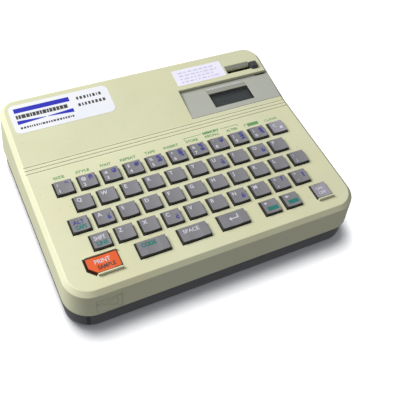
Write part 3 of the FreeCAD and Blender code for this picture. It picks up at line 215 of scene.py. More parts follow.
def moulded(name, colour, roughness, grain=0.35, spark=0.05, edge=0.5):
    """Moulded plastic: spark-eroded grain, faint cloudy colour, soft edges and a few scuffs."""
    finish = Finish(name, colour, roughness)
    darker = tuple(channel * 0.86 for channel in colour)
    lighter = tuple(min(1.0, channel * 1.12 + 0.01) for channel in colour)
    finish.tint(finish.ramp(finish.noise(38.0, 4.0), 0.42, 0.72), darker, 0.35)
    finish.tint(finish.ramp(finish.noise(grain, 2.0), 0.45, 0.75), lighter, 0.5)
    finish.tint(finish.scuffs(9.0, 0.27), lighter, 0.35)
    finish.gloss(finish.noise(12.0, 3.0), roughness - 0.07, roughness + 0.07)
    finish.soften(edge)
    finish.bump(finish.noise(grain, 2.5), spark)
    return finish


def casing_cream():
    """Cream styrene gone slightly yellow, with a little brown grime and handling marks, and a painted
    highlight along its outer edges.
    """
    finish = moulded("casing_cream", (0.640, 0.640, 0.420), 0.46, grain=0.42, spark=0.035, edge=0.9)
    finish.tint(finish.ramp(finish.noise(55.0, 3.0), 0.50, 0.70), (0.66, 0.62, 0.37), 0.45)
    specks = finish.ramp(finish.noise(1.6, 1.0), 0.775, 0.80)
    finish.tint(specks, (0.22, 0.19, 0.13), 0.6)
    # Painted highlight along the rounded outer edges of the casing.
    finish.paint_edge_highlight((0.76, 0.76, 0.55), 0.7)
    return finish


def key_plastic(name, colour, flank_shade):
    """Key cap plastic: a fine matt top worn a little shiny, and flanks tinted near black as painted
    shade.
    """
    finish = moulded(name, colour, 0.5, grain=0.28, spark=0.03, edge=0.3)
    wear = finish.ramp(finish.noise(5.0, 3.0), 0.48, 0.72)
    finish.tint(wear, tuple(channel * 1.12 for channel in colour), 0.45)
    # Painted shade: where the surface turns upright, the flanks are tinted towards the near-black flank
    # colour.
    sides = finish.ramp(finish.upward(), 0.85, 0.35)
    finish.tint(sides, flank_shade, 0.92)
    return finish


def brushed(name, colour, roughness, stretch):
    """Sheet or turned metal: fine streaks along one way, with dull patches."""
    finish = Finish(name, colour, roughness, 1.0)
    streaks = finish.noise(0.5, 3.0, stretch=stretch)
    finish.tint(finish.ramp(streaks, 0.4, 0.7), tuple(channel * 0.7 for channel in colour), 0.6)
    finish.gloss(finish.noise(4.0, 3.0), roughness - 0.08, roughness + 0.15)
    finish.bump(streaks, 0.02)
    return finish


def rubber(name, colour):
    """Matt rubber with a dusty bloom and fine pores."""
    finish = Finish(name, colour, 0.85)
    finish.tint(finish.ramp(finish.noise(3.0, 4.0), 0.45, 0.75), (0.16, 0.16, 0.15), 0.35)
    finish.bump(finish.noise(0.3, 2.0), 0.04)
    return finish


def window_clear():
    """Clear acrylic pane: a thin see-through skin with a sharp gloss and faint wipe marks."""
    finish = Finish("window_clear", (0.05, 0.055, 0.055), 0.08)
    finish.shader.inputs["Alpha"].default_value = 0.34
    finish.shader.inputs["Coat Weight"].default_value = 0.3
    finish.gloss(finish.noise(6.0, 3.0, stretch=(0.3, 1.0, 1.0)), 0.05, 0.2)
    finish.bump(finish.noise(9.0, 1.0), 0.02)
    return finish


def lcd_dark():
    """Blank liquid crystal glass: grey-green with the faint grid of its dots."""
    finish = Finish("lcd_dark", (0.105, 0.112, 0.110), 0.28)
    dots = finish.add("ShaderNodeTexBrick", offset=0.0)
    dots.inputs["Scale"].default_value = 1.0 / MM
    dots.inputs["Brick Width"].default_value = 0.9
    dots.inputs["Row Height"].default_value = 0.9
    dots.inputs["Mortar Size"].default_value = 0.12
    finish.link(finish.place, dots.inputs["Vector"])
    finish.tint(dots.outputs["Fac"], (0.145, 0.155, 0.150), 0.5)
    finish.tint(finish.noise(14.0, 2.0), (0.08, 0.12, 0.125), 0.5)
    return finish


def board_green():
    """Circuit board: green resist over a lighter net of copper tracks."""
    finish = Finish("board_green", (0.015, 0.12, 0.05), 0.35)
    cells = finish.add("ShaderNodeTexVoronoi", feature="DISTANCE_TO_EDGE", distance="CHEBYCHEV")
    cells.inputs["Scale"].default_value = 1.0 / (4.0 * MM)
    finish.link(finish.place, cells.inputs["Vector"])
    tracks = finish.ramp(cells.outputs["Distance"], 0.10, 0.05)
    finish.tint(tracks, (0.05, 0.26, 0.09), 0.8)
    finish.bump(tracks, 0.05)
    return finish


def cell_wrap():
    """Printed film round a battery: a copper end band and a dark body along X."""
    finish = Finish("cell_wrap", (0.03, 0.03, 0.035), 0.3)
    split = finish.add("ShaderNodeSeparateXYZ")
    finish.link(finish.place, split.inputs["Vector"])
    bands = finish.math("PINGPONG", finish.math("ADD", split.outputs["X"], 1.0), 50.0 * MM)
    finish.tint(finish.ramp(bands, 33.0 * MM, 33.4 * MM), (0.55, 0.26, 0.09), 0.95)
    finish.bump(finish.noise(7.0, 2.0), 0.05)
    return finish


def paper(name, colour, stain):
    """Coated label stock: nearly flat white with a soft stain and faint fibre."""
    finish = Finish(name, colour, 0.42)
    finish.tint(finish.ramp(finish.noise(16.0, 4.0), 0.45, 0.75), stain, 0.5)
    finish.bump(finish.noise(0.5, 3.0, stretch=(0.4, 1.0, 1.0)), 0.012)
    return finish


def ink(name, colour, worn):
    """Printed ink: solid colour with patches rubbed thin."""
    finish = Finish(name, colour, 0.5)
    finish.tint(finish.ramp(finish.noise(0.9, 3.0), 0.52, 0.74), worn, 0.55)
    return finish


FINISHES = {
    "casing_cream": casing_cream(),
    "tray_grey": moulded("tray_grey", (0.085, 0.085, 0.083), 0.6, grain=0.4),
    "panel_grey": moulded("panel_grey", (0.41, 0.42, 0.36), 0.42, grain=0.3, spark=0.02),
    "window_clear": window_clear(),
    "lcd_dark": lcd_dark(),
    "board_green": board_green(),
    "mat_rubber": rubber("mat_rubber", (0.012, 0.012, 0.013)),
    "chassis_steel": brushed("chassis_steel", (0.55, 0.54, 0.52), 0.38, (0.1, 1.0, 1.0)),
    "head_aluminium": brushed("head_aluminium", (0.70, 0.70, 0.71), 0.32, (1.0, 1.0, 0.1)),
    "motor_steel": brushed("motor_steel", (0.50, 0.50, 0.50), 0.28, (0.1, 1.0, 1.0)),
    "cassette_black": moulded("cassette_black", (0.02, 0.02, 0.022), 0.45, grain=0.3),
    "cell_wrap": cell_wrap(),
    "contact_steel": brushed("contact_steel", (0.66, 0.64, 0.60), 0.25, (1.0, 1.0, 0.2)),
    "foot_rubber": rubber("foot_rubber", (0.02, 0.02, 0.02)),
    "screw_steel": brushed("screw_steel", (0.42, 0.41, 0.40), 0.32, (1.0, 0.2, 1.0)),
    "jack_black": moulded("jack_black", (0.015, 0.015, 0.015), 0.4, grain=0.3, edge=0.2),
    "platen_rubber": rubber("platen_rubber", (0.03, 0.03, 0.032)),
    "gear_white": moulded("gear_white", (0.72, 0.72, 0.68), 0.4, grain=0.3, edge=0.1),
    "pinion_brass": brushed("pinion_brass", (0.72, 0.52, 0.22), 0.25, (0.1, 1.0, 1.0)),
    "cutter_dark": moulded("cutter_dark", (0.050, 0.048, 0.056), 0.42, grain=0.3, edge=0.3),
    # The last colour given to each key finish is the painted shade of its flanks.
    "key_grey": key_plastic("key_grey", (0.205, 0.200, 0.212), (0.004, 0.004, 0.004)),
    "key_light": key_plastic("key_light", (0.300, 0.285, 0.320), (0.004, 0.004, 0.004)),
    "key_orange": key_plastic("key_orange", (0.700, 0.100, 0.014), (0.06, 0.008, 0.002)),
    "ramp_grey": moulded("ramp_grey", (0.24, 0.24, 0.19), 0.5, grain=0.3, edge=0.2),
    "ink_white": ink("ink_white", (0.62, 0.61, 0.66), (0.42, 0.41, 0.45)),
    "ink_blue": ink("ink_blue", (0.045, 0.045, 0.23), (0.09, 0.09, 0.22)),
    "ink_teal": ink("ink_teal", (0.012, 0.170, 0.135), (0.05, 0.20, 0.17)),
    "ink_green": ink("ink_green", (0.120, 0.300, 0.110), (0.26, 0.40, 0.19)),
    "ink_dark": ink("ink_dark", (0.045, 0.045, 0.035), (0.11, 0.11, 0.09)),
    # This black is print on the display, and painted shade in the print key's surround, the panel notch
    # and the tray slot.
    "black_ink_and_shade": ink("black_ink_and_shade", (0.006, 0.005, 0.004), (0.02, 0.015, 0.01)),
    "ink_bar": ink("ink_bar", (0.012, 0.016, 0.42), (0.03, 0.04, 0.40)),
    "ink_faint": ink("ink_faint", (0.62, 0.58, 0.76), (0.74, 0.72, 0.84)),
    "label_white": paper("label_white", (0.80, 0.81, 0.84), (0.74, 0.75, 0.82)),
    "label_paper": paper("label_paper", (0.84, 0.82, 0.92), (0.76, 0.74, 0.88)),
    "label_silver": paper("label_silver", (0.52, 0.52, 0.52), (0.44, 0.44, 0.45)),
}


def dress_cad_nodes():
    """Give every carried-over node the procedural finish of its own material slot."""
    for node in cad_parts.values():
        for slot in node.material_slots:
            slot.material = FINISHES[slot.material.name.split(".")[0]].material
    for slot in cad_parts["key_on_off"].material_slots:
        slot.material = FINISHES["key_light"].material


# --- marks: flat shapes made of thin closed plates -------------------------------------------
# A mark is (points, triangles, finish): points in millimetres on a plane, z its height.

def ribbon(x, y, width, height, finish, columns=1, taper=(1.0, 1.0)):
    """A thin closed strip, height falling linearly from taper[0] to taper[1] along its length.

    Its points are a grid of columns + 1 stations by four corners: front and rear at the bottom
    face, rear and front at the top face. Quads join each station to the next, and two more close
    the ends.
    """
    stations = np.linspace(0.0, 1.0, columns + 1)
    half = height / 2 * (taper[0] + (taper[1] - taper[0]) * stations)
    across = np.stack([-half, half, half, -half], axis=1) + y + height / 2
    along = np.repeat((x + width * stations)[:, None], 4, axis=1)
    layers = np.broadcast_to([-INK / 2, -INK / 2, INK / 2, INK / 2], along.shape)
    points = np.stack([along, across, layers], axis=2).reshape(-1, 3)
    start = np.arange(columns)[:, None] * 4
    corner = np.arange(4)[None, :]
    first = start + corner
    second = start + (corner + 1) % 4
    quads = np.stack([first, first + 4, second + 4, second], axis=2).reshape(-1, 4)
    last = columns * 4
    ends = np.array([[0, 1, 2, 3], [last + 3, last + 2, last + 1, last]])
    quads = np.vstack([quads, ends])
    return points, np.vstack([quads[:, [0, 2, 1]], quads[:, [0, 3, 2]]]), finish


def plate(outline, finish, thickness=INK):
    """A thin closed plate over a convex outline that runs anticlockwise.

    The top is a fan from the first corner, the bottom is the same fan turned over, and a band of
    triangle pairs joins them.
    """
    count = len(outline)
    top = np.column_stack([outline, np.full(count, thickness / 2)])
    bottom = np.column_stack([outline, np.full(count, -thickness / 2)])
    fan = np.arange(1, count - 1)
    cap = np.column_stack([np.zeros_like(fan), fan, fan + 1])
    here = np.arange(count)
    there = (here + 1) % count
    band = np.vstack([np.column_stack([here + count, there + count, there]),
                      np.column_stack([here + count, there, here])])
    triangles = np.vstack([cap, cap[:, ::-1] + count, band])
    return np.vstack([top, bottom]), triangles, finish


def rounded(x, y, width, height, radius, steps=7):
    """Outline of a rectangle whose corners are quarter circles, anticlockwise."""
    sweep = np.linspace(0.0, math.pi / 2, steps)
    corners = ((1, 1), (-1, 1), (-1, -1), (1, -1))
    arcs = []
    for turn, (side_x, side_y) in enumerate(corners):
        angle = sweep + turn * math.pi / 2
        centre_x = x + width / 2 + side_x * (width / 2 - radius)
        centre_y = y + height / 2 + side_y * (height / 2 - radius)
        arcs.append(np.column_stack([centre_x + radius * np.cos(angle),
                                     centre_y + radius * np.sin(angle)]))
    return np.vstack(arcs)


def disc(x, y, radius, finish, steps=16):
    """A round dot: points at even angles round a circle."""
    angle = np.arange(steps) * 2 * math.pi / steps
    return plate(np.column_stack([x + radius * np.cos(angle), y + radius * np.sin(angle)]), finish)


def frame_lines(x, y, width, height, line, finish):
    """Four strips round a rectangle, meeting corner to corner."""
    return [ribbon(x, y, width, line, finish, 4), ribbon(x, y + height - line, width, line, finish, 4),
            ribbon(x, y + line, line, height - 2 * line, finish),
            ribbon(x + width - line, y + line, line, height - 2 * line, finish)]


def read_mesh(mesh):
    """Points and triangles of a mesh as arrays."""
    points = np.empty(len(mesh.vertices) * 3)
    mesh.vertices.foreach_get("co", points)
    mesh.calc_loop_triangles()
    triangles = np.empty(len(mesh.loop_triangles) * 3, dtype=np.int32)
    mesh.loop_triangles.foreach_get("vertices", triangles)
    return points.reshape(-1, 3), triangles.reshape(-1, 3)


def set_type(text, bold):
    """The built-in typeface as a solid mesh, its outline fattened by `bold` of its size."""
    curve = bpy.data.curves.new("words", "FONT")
    curve.body = text
    curve.resolution_u = 3
    curve.offset = bold
    curve.extrude = TYPE_DEPTH
    holder = bpy.data.objects.new("words", curve)
    bpy.context.scene.collection.objects.link(holder)
    bpy.context.view_layer.update()
    mesh = bpy.data.meshes.new_from_object(holder)
    points, triangles = read_mesh(mesh)
    bpy.data.objects.remove(holder)
    bpy.data.meshes.remove(mesh)
    return points, triangles


CAPITAL_HEIGHT = float(np.ptp(set_type("H", 0.0)[0][:, 1]))


def words(x, y, text, height, finish, bold, width=None, align=0.0):
    """A line of capitals `height` tall from (x, y), fitted to a width if one is given.

    align 0 starts the line at x, 0.5 centres it there.
    """
    points, triangles = set_type(text, bold)
    scale = height / CAPITAL_HEIGHT
    points = points * (scale, scale, 0.5 * INK / TYPE_DEPTH)
    length = np.ptp(points[:, 0])
    stretch = width / length if width else 1.0
    points[:, 0] = (points[:, 0] - points[:, 0].min()) * stretch
    points[:, 0] += x - align * length * stretch
    points[:, 1] += y
    return points, triangles, finish


def greek(x, y, width, height, finish, seed, longest=4.0, gap=0.8):
    """A line of print too small to read: short blocks of seeded lengths."""
    rng = np.random.default_rng(seed)
    lengths = rng.uniform(0.35, 1.0, 40) * longest
    starts = np.concatenate([[0.0], np.cumsum(lengths + gap)])[:-1]
    inside = starts + lengths <= width
    return [ribbon(x + start, y, length, height, finish)
            for start, length in zip(starts[inside], lengths[inside])]


def on_plane(points, plane, centre=(0.0, 0.0), lift=0.0):
    """Turn plane coordinates in millimetres into the row frame in metres.

    x stays x; y runs up the tilt, z stands square to it.
    """
    origin_y, origin_z, tilt = plane
    tilt = math.radians(tilt)
    across = points[:, 1] + centre[1]
    height = points[:, 2] + lift
    return np.column_stack([
        points[:, 0] + centre[0],
        origin_y + across * math.cos(tilt) - height * math.sin(tilt),
        origin_z + across * math.sin(tilt) + height * math.cos(tilt)]) * MM


def key_top(points, proud):
    """Height of a key's dished top over its own x: a cylinder's arc, cut off at the rim."""
    arc = DISH_RADIUS - np.sqrt(DISH_RADIUS ** 2 - points[:, 0] ** 2) - DISH_DEPTH
    return proud + np.minimum(0.0, arc)


def build(name, body, marks, place):
    """Join marks into one mesh, laid in place by a function of their points, riding on a body."""
    finishes = list(dict.fromkeys(mark[2] for mark in marks))
    counts = np.cumsum([0] + [len(mark[0]) for mark in marks])
    points = place(np.vstack([mark[0] for mark in marks]))
    triangles = np.vstack([mark[1] + start for mark, start in zip(marks, counts)])
    pick = np.concatenate([np.full(len(mark[1]), finishes.index(mark[2])) for mark in marks])
    mesh = bpy.data.meshes.new(name)
    mesh.from_pydata(points.tolist(), [], triangles.tolist())
    for finish in finishes:
        mesh.materials.append(FINISHES[finish].material)
    mesh.polygons.foreach_set("material_index", pick.astype(np.int32))
    mesh.update()
    piece = bpy.data.objects.new(name, mesh)
    bpy.context.scene.collection.objects.link(piece)
    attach(piece, body)


# --- key legends ------------------------------------------------------------------------------
# Rows of (key, column, row), columns and rows counted from the centre of the first key.

DIGITS = "1234567890"
SHIFTED = "!@#$%^&*()"
ACCENTS = ("&", "@", "$", "#", "%=", "S%", "%a", "$", "%2", "+%")
LETTER_ROWS = ((1, 0.5, "QWERTYUIOP"), (2, 1.0, "ASDFGHJKL"), (3, 1.5, "ZXCVBNM"))
BLUE_ACCENTS = {"A": "a", "C": "c", "N": "n", "U": "u", "O": "o"}
HALF_WIDTH = KEY_WIDTH / 2
HALF_DEPTH = KEY_DEPTH / 2
LEGEND_LEFT = -HALF_WIDTH + 2.0
LEGEND_HEIGHT = 2.9


def key_centre(column, row):
    """Centre of a key on the deck plane."""
    return (column - MIDDLE_COLUMN) * KEY_PITCH, KEY_DEPTH / 2 - row * ROW_PITCH


def legends(name, body, keys, proud=KEY_PROUD):
    """Print keys of one body on their dished tops, as one mesh; keys are (column, row, marks)."""
    pieces = []
    for column, row, marks in keys:
        centre = key_centre(column, row)
        for points, triangles, finish in marks:
            lift = key_top(points, proud) + INK_LIFT
            pieces.append((on_plane(points, DECK, centre, lift), triangles, finish))
    build("legend_" + name, body, pieces, lambda points: points)


def legend(name, column, row, marks, slot="key_grey", proud=KEY_PROUD):
    """Print a key that is a body of its own."""
    legends(name, "key_%s_body" % name, [(column, row, marks)], proud)


def digit_marks(digit, sign, accents):
    """White sign over white digit at the left, one or two blue accents at the right."""
    marks = [words(LEGEND_LEFT, HALF_DEPTH - 4.9, sign, 2.4, "ink_white", 0.03),
             words(LEGEND_LEFT + 0.3, -HALF_DEPTH + 1.9, digit, 2.6, "ink_white", 0.03)]
    for line, accent in enumerate(accents):
        y = HALF_DEPTH - 4.9 - 3.0 * line
        marks.append(words(1.0 + 0.2 * line, y, accent, 3.0, "ink_blue", 0.07, width=3.4))
    return marks


def letter_legends():
    """A white capital at each letter key's rear left, some with a small blue accent letter."""
    for row, first, letters in LETTER_ROWS:
        for index, letter in enumerate(letters):
            marks = [words(LEGEND_LEFT, HALF_DEPTH - 5.0, letter, LEGEND_HEIGHT, "ink_white", 0.025)]
            if letter in BLUE_ACCENTS:
                marks.append(words(1.6, -HALF_DEPTH + 3.4, BLUE_ACCENTS[letter], 3.4, "ink_blue", 0.06))
                marks.append(ribbon(2.0, -HALF_DEPTH + 6.6, 1.8, 0.5, "ink_blue", 2))
            legend(letter.lower(), first + index, row, marks)


def word_pair(upper, lower, inks, width, left=-HALF_WIDTH + 2.1):
    """Two stacked words on a key, the first over the second."""
    return [words(left, 0.3, upper, 2.9, inks[0], 0.02, width=width),
            words(left + 0.6, -3.9, lower, 3.0, inks[1], 0.04, width=width)]


def return_arrow():
    """A hooked arrow: a shaft, a riser at its right end and a solid head at its left."""
    head = np.array([[-3.6, 0.2], [-1.5, -1.4], [-1.5, 1.8]])
    return [ribbon(-1.6, -0.15, 5.4, 0.7, "ink_white", 4), ribbon(3.1, 0.55, 0.7, 2.6, "ink_white"),
            plate(head, "ink_white")]


def arrow_marks(side):
    """A white dot with a small pointer, and a green bar of three blocks below it."""
    tip = -0.9 if side < 0 else 0.9
    pointer = np.array([[tip * 2.2, 0.0], [0.0, -1.0], [0.0, 1.0]])[::(-1 if side < 0 else 1)]
    pointer = pointer + (LEGEND_LEFT + 1.8, HALF_DEPTH - 2.9)
    return [plate(pointer, "ink_white"), disc(LEGEND_LEFT + 1.5, HALF_DEPTH - 2.9, 0.9, "ink_white"),
            ribbon(-3.4, -3.4, 8.0, 3.2, "ink_teal", 8)]


def key_legends():
    """Every key's print, group by group and then key by key."""
    legends("digits", "digit_keys_body", [
        (column, 0, digit_marks(*signs))
        for column, signs in enumerate(zip(DIGITS, SHIFTED, ACCENTS))])
    letter_legends()
    legends("punctuation", "punctuation_keys_body", [
        (10.0, 2, [words(LEGEND_LEFT + 0.4, HALF_DEPTH - 4.4, ":", 2.6, "ink_white", 0.04),
                   words(LEGEND_LEFT + 1.0, -HALF_DEPTH + 2.6, ";", 2.6, "ink_white", 0.04)]),
        (8.5, 3, [words(LEGEND_LEFT + 0.2, HALF_DEPTH - 4.0, "<", 2.4, "ink_white", 0.03),
                  words(LEGEND_LEFT + 0.6, -HALF_DEPTH + 2.6, ",", 3.0, "ink_white", 0.04),
                  words(1.7, HALF_DEPTH - 5.0, "?", 3.4, "ink_blue", 0.05)]),
        (9.5, 3, [words(LEGEND_LEFT + 0.2, HALF_DEPTH - 4.0, ">", 2.4, "ink_white", 0.03),
                  words(LEGEND_LEFT + 0.6, -HALF_DEPTH + 2.6, ".", 3.0, "ink_white", 0.04),
                  words(2.2, HALF_DEPTH - 7.0, "!", 3.8, "ink_blue", 0.06)])])
    legends("arrows", "arrow_keys_body", [(7.5, 4, arrow_marks(-1)), (8.5, 4, arrow_marks(1))])
    legend("clear", 10.0, 0, [
        words(-3.4, 0.2, "C", 2.7, "ink_white", 0.03), disc(2.6, -1.4, 1.2, "ink_white")], "key_light")
    legend("alt", 0.0, 2, word_pair("ALT", "CAPS", ("ink_blue", "ink_teal"), 7.4))
    legend("shift", 0.5, 3,
           word_pair("SHIFT", "LINE", ("ink_white", "ink_teal"), 7.6))
    legend("code", 2.25, 4, [
        words(-7.6, 0.8, "CODE", 2.9, "ink_teal", 0.05, width=10.5)])
    legend("space", 4.0, 4, [
        words(-7.6, 0.6, "SPACE", 2.8, "ink_white", 0.01, width=11.6)])
    legend("return", 5.75, 4, return_arrow())
    legend("print", *PRINT_KEY, [
        words(-5.4, 0.4, "PRINT", 3.0, "ink_white", 0.012, width=10.4),
        words(-4.6, -3.8, "SAMPLE", 2.8, "ink_dark", 0.025, width=11.8)],
        "key_orange", LOW_KEY_PROUD)
    legend("on_off", 10.0, 4, [
        words(-3.6, 0.6, "ON", 2.4, "ink_white", 0.015),
        words(-3.2, -3.4, "OFF", 2.4, "ink_white", 0.015)], "key_light", LOW_KEY_PROUD)


# --- print and labels on the casing ------------------------------------------------------------

CAPTION_Y = 15.2
CAPTIONS = ("SIZE", "STYLE", "FONT", "REPEAT", "TAPE", "INSERT", "STORE", "RECALL", "ALTER")


def deck_captions():
    """Green function words over the digit keys, and a broken bracket over the memory group."""
    marks = [words(key_centre(column, 0)[0] - 0.6, CAPTION_Y, text, 2.1, "ink_green", 0.03,
                   width=2.0 * len(text), align=0.5) for column, text in enumerate(CAPTIONS)]
    left = key_centre(6, 0)[0] - HALF_WIDTH + 0.4
    right = key_centre(8, 0)[0] + HALF_WIDTH - 0.4
    top = CAPTION_Y + 4.4
    bar = 0.32 * (right - left)
    marks += [words((left + right) / 2, top - 0.9, "MEMORY", 2.1, "ink_green", 0.06, width=14.0,
                    align=0.5),
              ribbon(left, top, bar, 0.4, "ink_green", 4),
              ribbon(right - bar, top, bar, 0.4, "ink_green", 4),
              ribbon(left, top - 1.8, 0.4, 1.8, "ink_green"),
              ribbon(right - 0.4, top - 1.8, 0.4, 1.8, "ink_green")]
    tenth = key_centre(9, 0)[0] - HALF_WIDTH
    marks += [ribbon(tenth + 2.4, CAPTION_Y - 0.3, 9.6, 3.0, "ink_green", 4),
              ribbon(tenth - 0.2, CAPTION_Y - 0.1, 0.5, 2.6, "ink_green"),
              ribbon(tenth - 0.2, CAPTION_Y + 2.2, 2.2, 0.5, "ink_green")]
    last = key_centre(10, 0)[0]
    marks.append(words(last - 0.4, CAPTION_Y - 0.2, "CLEAR", 2.0, "ink_green", 0.01, width=11.6,
                       align=0.5))
    build("deck_captions", "casing", marks,
          lambda points: on_plane(points, DECK, lift=DECK_PRINT_LIFT))


def print_surround():
    """A black border painted round the rear, left and cut-off sides of the print key's opening, as
    painted shade of the gap there.

    Its outer outline is its inner one moved out square to each side; the cut-off side runs at 45
    degrees, so its ends move along their sides by the border times tan 22.5.
    """
    gap, border = 0.55, 0.85
    half_x, half_y = WIDE_KEY_WIDTH / 2 + gap, HALF_DEPTH + gap
    slip = border * math.tan(math.radians(22.5))
    inner = [(half_x, half_y), (-half_x, half_y), (-half_x, -half_y + PRINT_CUT),
             (-half_x + PRINT_CUT, -half_y)]
    outer = [(half_x, half_y + border), (-half_x - border, half_y + border),
             (-half_x - border, -half_y + PRINT_CUT - slip),
             (-half_x + PRINT_CUT - slip, -half_y - border)]
    # Painted shade: black strips where the gap round the key is in shade.
    marks = [plate(np.array([outer[side], outer[side + 1], inner[side + 1], inner[side]]),
                   "black_ink_and_shade") for side in range(3)]
    build("print_surround", "casing", marks,
          lambda points: on_plane(points, DECK, key_centre(*PRINT_KEY), DECK_PRINT_LIFT))


def leaning(plane, y, z, lean):
    """The plane whose origin lies at (y, z) of another plane and which leans up further."""
    origin_y, origin_z, tilt = plane
    angle = math.radians(tilt)
    return (origin_y + y * math.cos(angle) - z * math.sin(angle),
            origin_z + y * math.sin(angle) + z * math.cos(angle), tilt + lean)


def display_ribs():
    """Three thin ribs and a line of faint print on the ramp behind the display."""
    ramp = leaning(PANEL, WINDOW_REAR, -0.5, 5.3)
    marks = [ribbon(WINDOW_LEFT, 0.3 + 1.25 * line, WINDOW_WIDTH, 0.5, "ramp_grey", 8)
             for line in range(3)]
    marks += greek(WINDOW_LEFT + 1.0, 4.0, WINDOW_WIDTH - 2.0, 1.1, "label_silver", 31,
                   longest=7.0, gap=0.5)
    build("display_ribs", "casing", marks,
          lambda points: on_plane(points, ramp, lift=INK_LIFT))


def display_mask():
    """The dark border printed inside the display window: rear, right and a short stub at left."""
    mask = [ribbon(WINDOW_LEFT, WINDOW_REAR - MASK_REAR, WINDOW_WIDTH, MASK_REAR, "black_ink_and_shade", 8),
            ribbon(WINDOW_LEFT + WINDOW_WIDTH - MASK_RIGHT, WINDOW_FRONT, MASK_RIGHT,
                   WINDOW_REAR - MASK_REAR - WINDOW_FRONT, "black_ink_and_shade", 2),
            ribbon(WINDOW_LEFT, WINDOW_FRONT + 9.0, 0.7, 3.9, "black_ink_and_shade", 2)]
    build("display_mask", "casing", mask,
          lambda points: on_plane(points, PANEL, lift=INK_LIFT - WINDOW_SINK))


def panel_notch_shade():
    """A black strip of painted shade for the dark gap at the right end of the panel's rear edge."""
    notch = [ribbon(95.5, 26.5, 9.5, 1.1, "black_ink_and_shade", 2)]
    build("panel_notch_shade", "casing", notch,
          lambda points: on_plane(points, PANEL, lift=INK_LIFT))


def outlet_ribs():
    """The tape outlet's ramp under a grey-beige sheet painted darker than the cream as painted shade,
    with a comb of short ribs that the tape slides over.
    """
    ramp = leaning(REAR_DECK, OUTLET_RAMP, -1.5, 22.6)
    count = 15
    pitch = OUTLET_WIDTH / count
    # Painted shade: a darker grey-beige sheet laid over the cream ramp.
    marks = [ribbon(OUTLET_LEFT + 0.1, 0.15, OUTLET_WIDTH - 0.2, 3.5, "ramp_grey", 4)]
    build("outlet_ramp_shade", "casing", marks,
          lambda points: on_plane(points, ramp, lift=INK_LIFT))
    combs = [ribbon(OUTLET_LEFT + (index + 0.3) * pitch, 0.3, 0.45, 3.0, "panel_grey")
             for index in range(count)]
    build("outlet_comb", "casing", combs,
          lambda points: on_plane(points * (1.0, 1.0, 4.0), ramp, lift=3 * INK_LIFT))


def sticker(name, plane, outline, paper_finish, marks):
    """A rounded label stuck on a plane, with its print standing just clear of the paper."""
    build(name, "casing", [plate(outline, paper_finish, LABEL_THICKNESS)],
          lambda points: on_plane(points, plane, lift=LABEL_THICKNESS / 2 - LABEL_SINK))
    build(name + "_print", "casing", marks,
          lambda points: on_plane(points, plane,
                                  lift=LABEL_THICKNESS + INK_LIFT - LABEL_PRINT_SINK))


def owner_label():
    """The owner's white label: two blue bars and lines of unreadable print."""
    left, low, width, depth = -101.6, 27.0, 75.6, 25.2
    bar_left = left + 3.4
    bar_low = low + 7.8
    marks = [ribbon(bar_left, low + 18.0, 41.4, 4.0, "ink_bar", 2),
             ribbon(bar_left, bar_low, 21.0, 3.4, "ink_bar", 4, taper=(1.0, 0.12)),
             ribbon(bar_left + 22.4, bar_low, 19.4, 3.4, "ink_bar", 4, taper=(0.12, 1.0))]
    marks += greek(bar_left + 0.2, low + 12.6, 41.0, 3.4, "ink_dark", 3, longest=3.4, gap=0.45)
    marks += greek(bar_left + 0.8, low + 3.6, 40.0, 1.7, "ink_dark", 5, longest=1.8, gap=0.7)
    marks += greek(left + 50.2, low + 17.6, 21.6, 2.7, "ink_dark", 7, longest=2.0, gap=1.1)
    marks += greek(left + 49.8, low + 11.4, 21.6, 2.7, "ink_dark", 9, longest=2.0, gap=1.1)
    sticker("owner_label", REAR_DECK, rounded(left, low, width, depth, 4.5),
            "label_white", marks)


def paper_label():
    """A plain paper label beside the display, its lilac print nearly faded away."""
    left, low, width, depth = 28.4, 34.6, 42.8, 15.4
    marks = []
    for line in range(4):
        marks += greek(left + 4.0, low + 2.2 + 3.1 * line, 34.0, 1.3, "ink_faint", 11 + line,
                       longest=4.4, gap=1.2)
    sticker("paper_label", REAR_DECK, rounded(left, low, width, depth, 0.7, 3),
            "label_paper", marks)


def underside_label():
    """A plain silver plate on the battery door, with a frame line and unreadable print."""
    width, depth = 52.0, 24.0
    left, low = -width / 2, DOOR_LOW.y + 4.0
    plane = (0.0, DOOR_LOW.z, 0.0)
    marks = frame_lines(left + 1.5, low + 1.5, width - 3.0, depth - 3.0, 0.3, "ink_dark")
    for line in range(4):
        marks += greek(left + 4.5, low + 4.4 + 4.0 * line, 42.0, 1.3, "ink_dark", 21 + line,
                       longest=3.6, gap=0.9)
    build("underside_label", "battery_cover",
          [plate(rounded(left, low, width, depth, 1.5, 4), "label_silver", LABEL_THICKNESS)],
          lambda points: on_plane(points, plane, lift=-LABEL_THICKNESS / 2 + LABEL_SINK))
    build("underside_label_print", "battery_cover", marks,
          lambda points: on_plane(points, plane,
                                  lift=-LABEL_THICKNESS - INK_LIFT + LABEL_PRINT_SINK))


def slanted(start, finish, line, slot):
    """A straight strip between two points of a plane, `line` wide, as a four-cornered plate."""
    start, finish = np.array(start), np.array(finish)
    run = (finish - start) / np.linalg.norm(finish - start)
    side = np.array([run[1], -run[0]]) * line / 2
    return plate(np.array([start + side, finish + side, finish - side, start - side]), slot)


def front_emblem():
    """A shallow raised frame on the front wall with two triangles drawn one inside the other."""
    left, low, width, height = -93.0, 1.2, 17.8, 13.8
    right = left + width
    marks = frame_lines(left, low, width, height, 0.35, "casing_cream")
    for corners in (((left + 0.8, low + 9.9), (right - 0.9, low + 1.2), (right - 0.9, low + 13.3)),
                    ((left + 6.0, low + 8.6), (right - 3.6, low + 4.4), (right - 3.6, low + 10.6))):
        marks += [slanted(corners[here], corners[here - 1], 0.55, "casing_cream")
                  for here in range(3)]
    build("front_emblem", "casing", marks,
          lambda points: on_plane(points * (1.0, 1.0, 3.0), FRONT_WALL))


